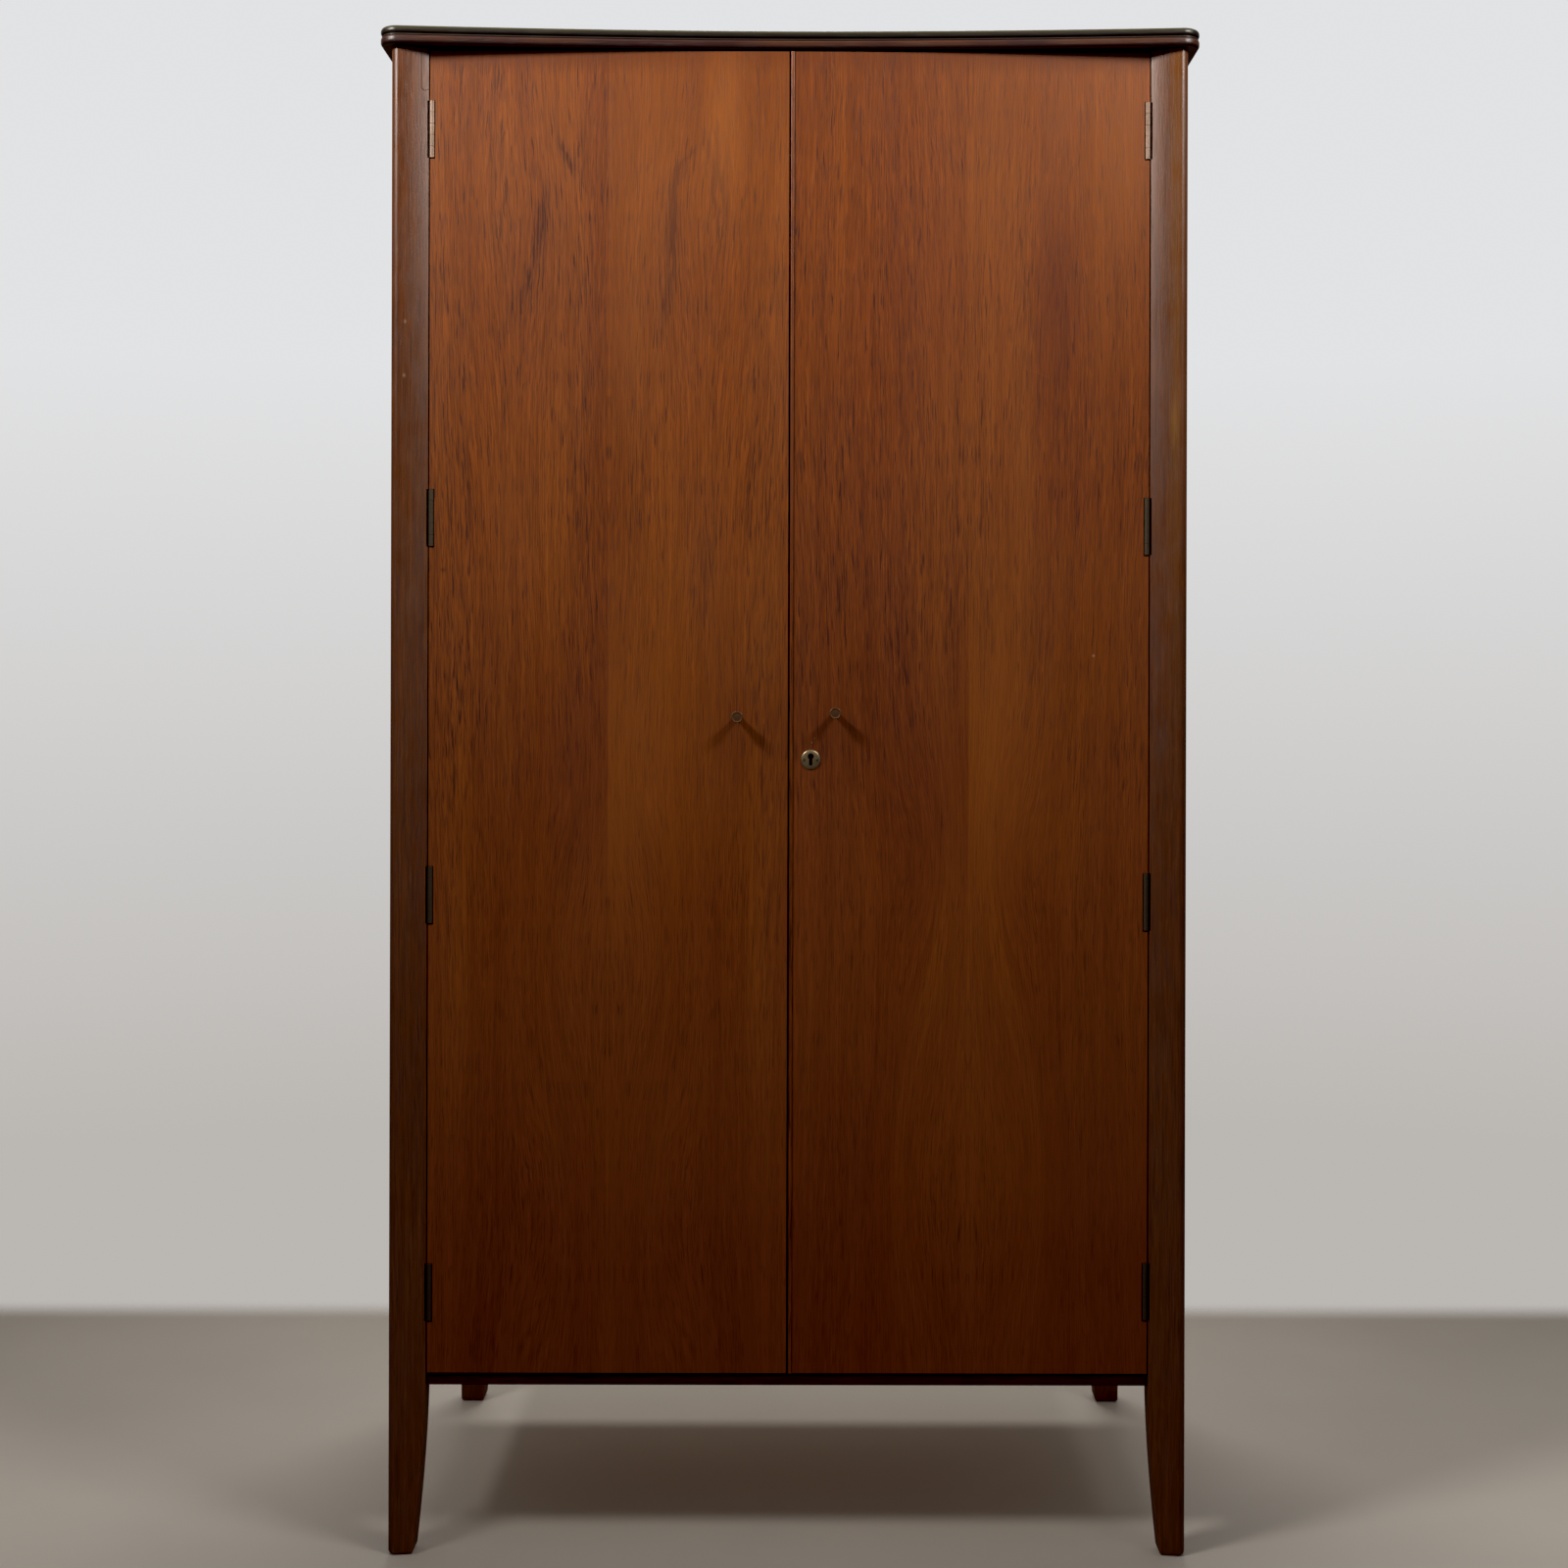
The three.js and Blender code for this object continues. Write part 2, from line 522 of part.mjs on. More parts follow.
// Surface bolts on the back of the left door; up is +1 for the top one and -1 for the lower one.
function makeSlipBolt(name, up, tipZ) {
  const around = (reach) => [SLIP_BOLT.x - reach, SLIP_BOLT.x + reach];
  const half = SLIP_BOLT.width / 2;
  const barY = [doorBackY + SLIP_BOLT.standOff, doorBackY + SLIP_BOLT.standOff + SLIP_BOLT.thickness];
  const near = tipZ - up * SLIP_BOLT.tipOut;
  const far = tipZ - up * SLIP_BOLT.length;
  const body = box(around(SLIP_BOLT.caseHalfWidth), [doorBackY + FIT, barY[1] + 2], [near, far]);
  const channel = box(around(half + FIT), widen(barY, FIT), [near + up * 5, far - up * 5]);
  const middle = (near + far) / 2;
  const slot = box(around(SLIP_BOLT.slotHalfWidth), [barY[1], barY[1] + 5],
    [middle - up * 8, middle + up * (SLIP_BOLT.travel + 5)]);
  addPart(`${name}_slip_bolt_case`, cut(body, channel, slot), MATERIALS.brass);
  const bar = box(around(half), barY, [tipZ, tipZ - up * (SLIP_BOLT.length - SLIP_BOLT.travel)]);
  const thumb = turnedY([[0, -2], [2.4, -2], [2.4, 4], [3.4, 6], [2.8, 8], [0, 8.4]],
    SLIP_BOLT.x, barY[1], middle - up * 4, 12);
  addPart(`${name}_slip_bolt`, join(bar, thumb), MATERIALS.brass);
}

makeTop();
makePosts();
makeCarcass();
makeInside();
makeDoors();
makeHinges();
makeKnobs();
makeLock();
makeSlipBolt('top', 1, doorTop - STOP.lap - RAIL_THICKNESS - 3);
makeSlipBolt('bottom', -1, FLOOR_BOARD.top + 3);

export default group;
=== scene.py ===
"""Two-door teak wardrobe: the looks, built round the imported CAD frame."""

import json
import math

import bmesh
import bpy
from mathutils import Matrix, Vector


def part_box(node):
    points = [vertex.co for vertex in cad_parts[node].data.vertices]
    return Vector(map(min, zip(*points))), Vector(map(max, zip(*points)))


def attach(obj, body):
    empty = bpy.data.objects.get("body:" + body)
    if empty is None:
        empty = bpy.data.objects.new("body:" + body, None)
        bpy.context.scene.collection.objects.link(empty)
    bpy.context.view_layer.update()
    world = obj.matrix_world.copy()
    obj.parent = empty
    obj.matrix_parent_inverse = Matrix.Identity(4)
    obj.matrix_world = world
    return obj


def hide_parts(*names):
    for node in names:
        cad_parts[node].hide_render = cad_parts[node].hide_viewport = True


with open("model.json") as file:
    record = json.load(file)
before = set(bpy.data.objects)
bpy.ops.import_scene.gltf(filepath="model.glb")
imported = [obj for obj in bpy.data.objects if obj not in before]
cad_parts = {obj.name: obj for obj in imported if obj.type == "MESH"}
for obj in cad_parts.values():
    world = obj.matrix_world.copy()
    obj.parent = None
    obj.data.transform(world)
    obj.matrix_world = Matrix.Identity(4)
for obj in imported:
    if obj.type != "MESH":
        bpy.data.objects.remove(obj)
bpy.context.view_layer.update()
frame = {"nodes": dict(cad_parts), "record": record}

RECORD = frame["record"]
SCENE = bpy.context.scene
BODY_OF = {node: body for body, nodes in RECORD["behaviour"]["bodies"].items() for node in nodes}
MM = 0.001
SIDES = {"left": -1, "right": 1}
HINGES = range(1, 5)  # from the lowest to the highest


def placed(name, data):
    """A new object in the scene."""
    thing = bpy.data.objects.new(name, data)
    SCENE.collection.objects.link(thing)
    return thing


def mesh_from(name, bm):
    """A mesh with its faces turned outwards; the bmesh is used up."""
    mesh = bpy.data.meshes.new(name)
    bmesh.ops.recalc_face_normals(bm, faces=bm.faces)
    bm.to_mesh(mesh)
    bm.free()
    return mesh


def lowest(node):
    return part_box(node)[0]


def highest(node):
    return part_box(node)[1]


def middle(node):
    low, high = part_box(node)
    return (low + high) / 2


DOOR_FACE_Y = lowest("left_door").y
DOOR_JOIN_X = {name: middle(f"{name}_door").x for name in SIDES}

# ---- camera, light, floor

CAMERA_DISTANCE = 2.342
CAMERA_HEIGHT = 0.965
CAMERA_RIGHT = 19 * MM
CAMERA_ROLL = math.radians(-0.153)
CAMERA_YAW = math.radians(-0.133)
LENS = {"sensor_width": 36, "lens": 48.07, "shift_x": -0.0169, "shift_y": -0.0606}


def make_camera():
    """A level camera in front of the doors, a little right of the middle."""
    lens = bpy.data.cameras.new("camera")
    for setting, value in LENS.items():
        setattr(lens, setting, value)
    camera = placed("camera", lens)
    camera.location = (CAMERA_RIGHT, DOOR_FACE_Y - CAMERA_DISTANCE, CAMERA_HEIGHT)
    camera.rotation_euler = (math.pi / 2, CAMERA_ROLL, CAMERA_YAW)
    SCENE.camera = camera


def area_light(name, location, target, size, power, colour):
    data = bpy.data.lights.new(name, "AREA")
    data.shape = "DISK"
    data.size = size
    data.energy = power
    data.color = colour
    light = placed(name, data)
    light.location = location
    aim = Vector(target) - Vector(location)
    light.rotation_euler = aim.to_track_quat("-Z", "Y").to_euler()


def make_lights():
    """Two soft ceiling lights in front, tipped up so that the doors darken downwards, and one behind."""
    ceiling = 2.4
    front = DOOR_FACE_Y - 1.05
    warm = (1.0, 0.955, 0.90)
    area_light("ceiling_left", (-1.4, front, ceiling), (0.1, DOOR_FACE_Y, 3.3), 0.62, 56, warm)
    area_light("ceiling_right", (1.25, front, ceiling), (-0.1, DOOR_FACE_Y, 3.3), 0.80, 43, warm)
    area_light("behind", (0, 1.5, ceiling), (0, 0.3, 2.7), 1.6, 50, warm)
    world = bpy.data.worlds.new("room")
    world.use_nodes = True
    sky = Nodes(world.node_tree)
    direction = sky.split(sky.node("TexCoord").outputs["Generated"])

    def fade(axis, low, high, before, after):
        """One colour turning into another as the direction's part along an axis goes from low to high."""
        place = sky.node("MapRange", Value=direction[axis], From_Min=low, From_Max=high)
        return sky.mix(place.outputs["Result"], before, after)

    # The camera sees a pale backdrop; a dim room with a lighter ceiling and rear wall lights the object.
    backdrop = sky.tree.nodes["Background"]
    sky.put(backdrop.inputs["Color"], fade("Z", -0.20, 0.15, (0.50, 0.475, 0.45), (0.76, 0.765, 0.775)))
    room = fade("Z", 0.35, 0.95, (0.012, 0.010, 0.008), (0.26, 0.25, 0.235))
    rear = fade("Z", -0.10, 0.25, (0.020, 0.016, 0.012), (0.22, 0.205, 0.185))
    dim = sky.node("Background", Color=fade("Y", 0.15, 0.60, room, rear))
    seen = sky.node("LightPath").outputs["Is Camera Ray"]
    either = sky.node("MixShader", seen, dim.outputs[0], backdrop.outputs[0])
    sky.put(sky.tree.nodes["World Output"].inputs["Surface"], either.outputs[0])
    SCENE.world = world
    view = SCENE.view_settings
    view.view_transform = "Standard"
    view.use_curve_mapping = True
    view.curve_mapping.black_level = (0.005, 0.005, 0.0035)
    view.curve_mapping.update()


FLOOR_RADIUS = 6
FLOOR_BELOW_FEET = 0.2 * MM


def make_floor():
    mesh = bpy.data.meshes.new("floor")
    bm = bmesh.new()
    bmesh.ops.create_circle(bm, cap_ends=True, segments=96, radius=FLOOR_RADIUS)
    bm.to_mesh(mesh)
    bm.free()
    floor = placed("floor", mesh)
    floor.location.z = -FLOOR_BELOW_FEET
    floor.visible_glossy = False
    shader = Shader("pale_floor")
    place = shader.coordinates()
    cloud = shader.noise(place, 3, detail=3)
    tone = shader.ramp(cloud, [(0.3, (0.82, 0.765, 0.69)), (0.7, (0.87, 0.815, 0.74))])
    shader.finish(tone, roughness=0.55)
    # Behind the wardrobe the floor fades into the pale backdrop.
    shader.put(shader.surface.inputs["Alpha"], shader.between(shader.split(place)[1], 0.70, 0.60))
    mesh.materials.append(shader.material)


# ---- shader writing


class Nodes:
    """A node tree written as nested calls."""

    def __init__(self, tree):
        self.tree = tree

    def put(self, socket, value):
        if isinstance(value, bpy.types.NodeSocket):
            self.tree.links.new(value, socket)
        elif isinstance(value, (tuple, list)) and len(value) == 3 and socket.type == "RGBA":
            socket.default_value = (*value, 1)
        else:
            socket.default_value = value

    def node(self, kind, *in_order, **by_name):
        """A new node, with its inputs given in order or by name."""
        node = self.tree.nodes.new(f"ShaderNode{kind}")
        for socket, value in zip(node.inputs, in_order):
            self.put(socket, value)
        for name, value in by_name.items():
            self.put(node.inputs[name.replace("_", " ")], value)
        return node

    def split(self, vector):
        return self.node("SeparateXYZ", vector).outputs

    def join(self, x, y, z):
        return self.node("CombineXYZ", x, y, z).outputs[0]

    def math(self, operation, a, b=0.0, c=0.0):
        node = self.node("Math", a, b, c)
        node.operation = operation
        return node.outputs[0]

    def times(self, a, *others):
        for other in others:
            a = self.math("MULTIPLY", a, other)
        return a

    def plus(self, a, b):
        return self.math("ADD", a, b)

    def minus(self, a, b):
        return self.math("SUBTRACT", a, b)

    def scaled(self, value, factor, shift):
        return self.math("MULTIPLY_ADD", value, factor, shift)

    def absolute(self, value):
        return self.math("ABSOLUTE", value)

    def noise(self, vector, scale=1.0, detail=2.0, roughness=0.5):
        node = self.node("TexNoise", Vector=vector, Scale=scale, Detail=detail, Roughness=roughness)
        return node.outputs["Fac"]

    def ramp(self, factor, stops):
        """Two (position, colour) stops with a straight blend between them."""
        node = self.node("ValToRGB", factor)
        for element, (position, colour) in zip(node.color_ramp.elements, stops):
            element.position = position
            element.color = (*colour, 1)
        return node.outputs["Color"]

    def between(self, value, low, high):
        """0 below low, 1 above high, smooth in between; the other way round if low > high."""
        first, last = (1.0, 0.0) if low > high else (0.0, 1.0)
        node = self.node("MapRange", Value=value, From_Min=min(low, high), From_Max=max(low, high),
                         To_Min=first, To_Max=last)
        node.interpolation_type = "SMOOTHSTEP"
        return node.outputs["Result"]

    def hill(self, place, centre, radii):
        """1 at the centre of an ellipse, falling smoothly to 0 at about twice its radii."""
        total = 0.0
        for value, middle_value, radius in zip(place, centre, radii):
            part = self.math("DIVIDE", self.minus(value, middle_value), radius)
            total = self.scaled(part, part, total)
        return self.math("EXPONENT", self.times(total, -1.0))

    def mix(self, factor, a, b, blend="MIX"):
        node = self.node("Mix", factor)
        node.data_type = "RGBA"
        node.blend_type = blend
        self.put(node.inputs[6], a)
        self.put(node.inputs[7], b)
        return node.outputs[2]

    def tint(self, colour, tone, *weights):
        """The colour with a tone over it, as strong as the weights multiplied together."""
        return self.mix(self.times(*weights), colour, tone)


class Shader(Nodes):
    """A material with one surface, placed by object coordinates."""

    def __init__(self, name):
        self.material = bpy.data.materials.new(name)
        self.material.use_nodes = True
        super().__init__(self.material.node_tree)
        self.tree.nodes.clear()
        self.surface = self.node("BsdfPrincipled")
        self.node("OutputMaterial", Surface=self.surface.outputs[0])

    def coordinates(self):
        return self.node("TexCoord").outputs["Object"]

    def finish(self, colour, roughness, bump=None, bump_height=0.0, **constants):
        self.put(self.surface.inputs["Base Color"], colour)
        self.put(self.surface.inputs["Roughness"], roughness)
        for name, value in constants.items():
            self.surface.inputs[name.replace("_", " ")].default_value = value
        if bump is not None:
            node = self.node("Bump", Distance=bump_height, Height=bump)
            self.put(self.surface.inputs["Normal"], node.outputs[0])
        return self.material


# ---- wood

PORE_DEPTH = 0.03 * MM


def wood(name, tones, grain="z", flow=0.07, bands=0.6, lines=0.5, pores=0.85,
         mirror=None, figures=(), seed=0.0, roughness=(0.36, 0.46), crowding=None, marks_and_painted_light=None,
         gloss_level=0.4, mottle=0.0, calm=None):
    """Wood with its grain along one axis.

    tones is (dark, mean, light, red). The grain runs along the level lines of a field: the place across
    the grain, pushed about by slow noise and by figures, each (across, along, half width, half length,
    push) in metres. Colour bands and broad rings follow that field; growth lines and pores follow it
    less, so that they stay fine in a figure. mirror is a joint that two leaves of veneer are matched
    about. calm is the two heights between which lines and pores grow fainter.
    """
    shader = Shader(name)
    dark, mean, light, red = tones
    x, y, z = shader.split(shader.coordinates())
    across, depth, along = {"z": (x, y, z), "x": (z, y, x), "y": (x, z, y)}[grain]
    plain_across = across
    if mirror is not None:
        leaf = shader.math("GREATER_THAN", across, mirror)
        across = shader.absolute(shader.minus(across, mirror))
    across = shader.plus(across, seed)

    def field(position, across_scale, along_scale, **options):
        vector = shader.join(shader.times(position, across_scale), shader.times(depth, across_scale * 0.6),
                             shader.times(along, along_scale))
        return shader.noise(vector, **options)

    def push(amount, across_scale, along_scale, **options):
        centred = shader.minus(field(across, across_scale, along_scale, **options), 0.5)
        return shader.times(centred, amount)

    level = shader.plus(across, push(flow, 6, 0.9, detail=2))
    level = shader.plus(level, push(flow * 0.07, 26, 4.0, detail=1))
    level = shader.plus(level, push(0.0024, 130, 45, detail=2))
    fine = level
    for centre, height, half_width, half_length, amount in figures:
        bump = shader.hill((across, along), (centre + seed, height), (half_width, half_length))
        level = shader.scaled(bump, amount, level)
        fine = shader.scaled(bump, amount * 0.35, fine)
    strength = 1.0
    if calm is not None:
        calmness = shader.between(along, *calm)
        strength = shader.scaled(calmness, -0.45, 1.0)

    wide = shader.between(field(level, 13, 0.5, detail=2), 0.36, 0.66)
    mid = shader.between(field(level, 60, 1.4, detail=2), 0.38, 0.68)
    hue = shader.between(field(across, 7, 1.5, detail=2), 0.38, 0.66)
    colour = shader.tint(mean, light, wide, bands)
    colour = shader.tint(colour, dark, mid, bands * 0.4)
    colour = shader.tint(colour, red, hue, bands * 0.6)
    rings = shader.between(field(level, 200, 1.5, detail=1), 0.46, 0.60)
    colour = shader.tint(colour, dark, rings, lines * 0.3)
    growth = shader.between(field(fine, 520, 6.0, detail=2, roughness=0.6), 0.48, 0.68)
    growth = shader.times(growth, strength)
    colour = shader.tint(colour, dark, growth, lines * 0.6)

    # Short open pores everywhere, and bolder dashes where growth lines or figures crowd them.
    crowd = shader.plus(shader.times(field(level, 70, 2.4, detail=2), 0.17),
                        shader.times(field(across, 10, 1.4, detail=2), 0.17))
    if calm is not None:
        crowd = shader.scaled(calmness, -0.05, crowd)
    if crowding is not None:
        crowd = shader.plus(crowd, crowding(shader, (x, y, z)))
    dash = shader.between(shader.plus(field(fine, 1100, 34, detail=1), crowd), 0.68, 0.78)
    bold = shader.between(shader.plus(field(fine, 720, 24, detail=1), crowd), 0.80, 0.87)
    deep = (dark[0] * 0.42, dark[1] * 0.32, dark[2] * 0.3)
    colour = shader.tint(colour, deep, dash, pores * 0.5)
    bold = shader.times(bold, strength)
    colour = shader.tint(colour, deep, bold, pores)
    pore = shader.math("MAXIMUM", shader.times(dash, 0.7), bold)
    fleck = shader.times(shader.between(field(fine, 620, 42, detail=1), 0.56, 0.72), strength)
    colour = shader.tint(colour, light, fleck, lines * 0.7)
    fibre = field(fine, 950, 15, detail=2, roughness=0.6)
    swing = shader.times(shader.minus(fibre, 0.5), strength)
    colour = shader.mix(1.0, colour, shader.scaled(swing, 1.5, 1.07), "MULTIPLY")
    if mirror is not None:
        # The two leaves differ a little in tone, and a hair line shows where they meet.
        uneven = shader.between(shader.noise(shader.join(0.0, 0.0, shader.times(along, 2.2))), 0.4, 0.6)
        colour = shader.tint(colour, light, leaf, shader.times(uneven, 0.3))
        distance = shader.absolute(shader.minus(plain_across, mirror))
        seam = shader.between(distance, 0.0009, 0.0003)
        colour = shader.tint(colour, light, seam, 0.35)
    # Marks laid over the wood; on the doors and the top they include painted shade and painted highlights.
    if marks_and_painted_light is not None:
        colour = marks_and_painted_light(shader, colour, (x, y, z))

    gloss = shader.between(field(across, 9, 2.2, detail=3), 0.3, 0.7)
    rough = shader.scaled(gloss, roughness[1] - roughness[0], roughness[0])
    if mottle:
        patch = shader.minus(field(across, 55, 22, detail=3, roughness=0.6), 0.5)
        rough = shader.scaled(patch, mottle, rough)
    rough = shader.plus(rough, shader.times(pore, 0.12))
    relief = shader.minus(shader.times(fibre, 0.2), pore)
    return shader.finish(colour, rough, relief, bump_height=PORE_DEPTH, Specular_IOR_Level=gloss_level)


TEAK = ((0.118, 0.027, 0.0050), (0.236, 0.0600, 0.0095), (0.310, 0.090, 0.0125), (0.195, 0.042, 0.0080))
POST_WOOD = ((0.070, 0.019, 0.0038), (0.142, 0.041, 0.0072), (0.198, 0.064, 0.0115), (0.128, 0.031, 0.0062))
TOP_WOOD = ((0.005, 0.003, 0.0012), (0.012, 0.008, 0.003), (0.026, 0.016, 0.006), (0.018, 0.008, 0.003))
RAIL_WOOD = ((0.030, 0.008, 0.0025), (0.060, 0.017, 0.0040), (0.085, 0.028, 0.0060), (0.052, 0.013, 0.0035))
INNER_WOOD = ((0.30, 0.17, 0.085), (0.46, 0.29, 0.155), (0.55, 0.37, 0.21), (0.44, 0.26, 0.13))
PLY_WOOD = ((0.34, 0.21, 0.115), (0.50, 0.34, 0.19), (0.58, 0.42, 0.26), (0.47, 0.30, 0.16))

# (across, height, half width, half length, lean, amount): veins and patches where dark pores crowd
DARK_STREAKS = (
    (-0.253, 1.565, 0.0050, 0.026, -0.48, 0.14),
    (-0.238, 1.562, 0.0045, 0.024, 0.20, 0.11),
    (-0.278, 1.490, 0.0065, 0.042, 0.13, 0.16),
    (-0.290, 1.430, 0.0065, 0.036, 0.30, 0.13),
    (-0.132, 1.478, 0.0060, 0.048, 0.03, 0.22),
    (-0.128, 1.531, 0.0055, 0.028, 0.17, 0.15),
    (-0.112, 1.562, 0.0045, 0.018, 0.89, 0.14),
    (-0.081, 1.540, 0.0060, 0.042, -0.26, 0.16),
    (-0.139, 1.400, 0.0080, 0.055, 0.18, 0.13),
    (-0.095, 1.100, 0.0180, 0.080, 0.05, 0.11),
    (-0.140, 1.100, 0.0100, 0.060, 0.00, 0.06),
    (-0.285, 1.460, 0.0300, 0.110, 0.00, 0.04),
    (-0.130, 1.440, 0.0250, 0.120, 0.00, 0.04),
    (-0.075, 1.560, 0.0500, 0.090, 0.00, 0.04),
    (0.310, 1.390, 0.0250, 0.110, 0.00, 0.07),
    (0.055, 1.075, 0.0200, 0.035, 0.00, 0.08),
    (0.055, 1.250, 0.0200, 0.070, 0.00, 0.04),
)

# (across, height, half width, half length, tone, amount): soft patches of amber, dark and golden veneer,
# and one painted sheen
DOOR_PATCHES = (
    (-0.072, 1.60, 0.022, 0.09, (0.42, 0.125, 0.0145), 0.4),
    (0.300, 1.40, 0.022, 0.11, (0.145, 0.030, 0.0075), 0.5),
    (0.163, 1.42, 0.045, 0.17, TEAK[3], 0.35),
    (0.220, 1.62, 0.070, 0.06, TEAK[0], 0.20),
    (0.262, 1.20, 0.014, 0.13, TEAK[2], 0.45),
    (0.375, 1.56, 0.020, 0.09, TEAK[2], 0.35),
    # painted sheen of the lights at the top of the left door's outer part
    (-0.330, 1.52, 0.040, 0.12, TEAK[2], 0.25),
    (-0.180, 1.36, 0.020, 0.16, TEAK[2], 0.30),
)

# (across, height, radius, tone, amount): a dent below the second hinge, and three chips of bare wood
BARE_WOOD = (0.50, 0.30, 0.15)
DOOR_SPOTS = (
    (-0.387, 1.097, 2.2 * MM, (0.07, 0.018, 0.005), 0.7),
    (0.341, 1.003, 1.3 * MM, BARE_WOOD, 0.8),
    (0.026, 0.905, 0.8 * MM, BARE_WOOD, 0.5),
    (0.029, 0.910, 0.7 * MM, BARE_WOOD, 0.4),
)

# (side of the joint, tone, amount): the leaf on the right is more golden, the one on the left redder
LEAF_GLOWS = ((1, (0.37, 0.105, 0.0115), 0.38), (-1, (0.165, 0.034, 0.0072), 0.4))

# The fine slanting scratch on the right door: its middle, its fall, its height at x = 0, half its reach
SCRATCH_X = 0.281
SCRATCH_SLOPE = 0.42
SCRATCH_LEVEL = 1.436
SCRATCH_REACH = 14 * MM


def door_crowding(shader, place):
    total = 0.0
    for centre, height, half_width, half_length, lean, amount in DARK_STREAKS:
        leaning = shader.scaled(place[2], -lean, place[0])
        bump = shader.hill((leaning, place[2]), (centre - lean * height, height), (half_width, half_length))
        total = shader.scaled(bump, amount, total)
    return total


def door_marks_and_painted_light(shader, colour, place):
    """Painted shadow of the top's overhang, darker and redder towards the foot, veneer patches with one
    painted sheen, a darker patch below each knob, leaf tones and small marks.
    """
    x, z = place[0], place[2]
    # Painted shadow of the top's overhang on the doors, strongest at the outer ends.
    top = highest("left_door").z
    shade = shader.between(z, top - 30 * MM, top - 1 * MM)
    outer = shader.between(shader.absolute(x), 0.0, 0.36)
    colour = shader.tint(colour, TEAK[0], shade, shader.scaled(outer, 0.45, 0.35))
    # A fainter, longer painted shadow of the overhang below that, strongest in the middle.
    below = shader.between(z, top - 150 * MM, top - 40 * MM)
    colour = shader.tint(colour, TEAK[0], below, shader.scaled(outer, -0.22, 0.27))
    # Towards the floor they are darker and redder.
    foot = shader.between(z, 0.66, 0.20)
    colour = shader.mix(foot, colour, (0.88, 0.74, 0.90), "MULTIPLY")
    # Veneer patches, and one painted sheen.
    for across, height, half_width, half_length, tone, amount in DOOR_PATCHES:
        patch = shader.hill((x, z), (across, height), (half_width, half_length))
        colour = shader.tint(colour, tone, patch, amount)
    # A soft darker patch just below each knob.
    for name in SIDES:
        knob = middle(f"{name}_knob")
        knob_darkening = shader.hill((x, z), (knob.x, middle("left_knob").z - 0.01), (0.05, 0.06))
        colour = shader.tint(colour, TEAK[0], knob_darkening, 0.25)
    for joint in DOOR_JOIN_X.values():
        beside = shader.minus(x, joint)
        for side, tone, amount in LEAF_GLOWS:
            glow = shader.hill((x, z), (joint + side * 0.03, 0.88), (0.075, 0.14))
            half = shader.between(shader.times(beside, side), -0.3 * MM, 0.3 * MM)
            colour = shader.tint(colour, tone, glow, half, amount)
    for across, height, radius, tone, amount in DOOR_SPOTS:
        dot = shader.hill((x, z), (across, height), (radius, radius))
        colour = shader.tint(colour, tone, dot, amount)
    slant = shader.minus(shader.scaled(x, SCRATCH_SLOPE, z), SCRATCH_LEVEL)
    scratch = shader.between(shader.absolute(slant), 0.55 * MM, 0.15 * MM)
    reach = shader.absolute(shader.minus(x, SCRATCH_X))
    span = shader.between(reach, SCRATCH_REACH, SCRATCH_REACH - 6 * MM)
    return shader.tint(colour, TEAK[2], scratch, span, 0.55)


def post_patch(shader, colour, place):
    """The paler piece let in at the top of the left post's inner edge, and two small nicks lower down."""
    door_edge = lowest("left_door").x
    foot = highest("front_left_post").z - PATCH_LENGTH
    inward = shader.between(place[0], door_edge - 9.1 * MM, door_edge - 8.8 * MM)
    upper = shader.between(place[2], foot, foot + 0.5 * MM)
    colour = shader.tint(colour, POST_WOOD[2], inward, upper, 0.25)
    for x, z in ((-0.428, 1.373), (-0.429, 1.313)):
        nick = shader.hill((place[0], place[2]), (x, z), (1.3 * MM, 2.0 * MM))
        colour = shader.tint(colour, (0.36, 0.24, 0.14), nick, 0.7)
    return colour


def golden_post(shader, colour, place):
    """A golden band down the outer half of the right post, with an amber fleck below its middle."""
    band = shader.hill((place[0],), (0.431,), (7 * MM,))
    height = shader.between(place[2], 0.70, 1.30)
    colour = shader.tint(colour, (0.205, 0.078, 0.009), band, height, 0.45)
    fleck = shader.hill((place[0], place[2]), (0.429, 1.265), (4 * MM, 26 * MM))
    return shader.tint(colour, (0.31, 0.140, 0.018), fleck, 0.45)


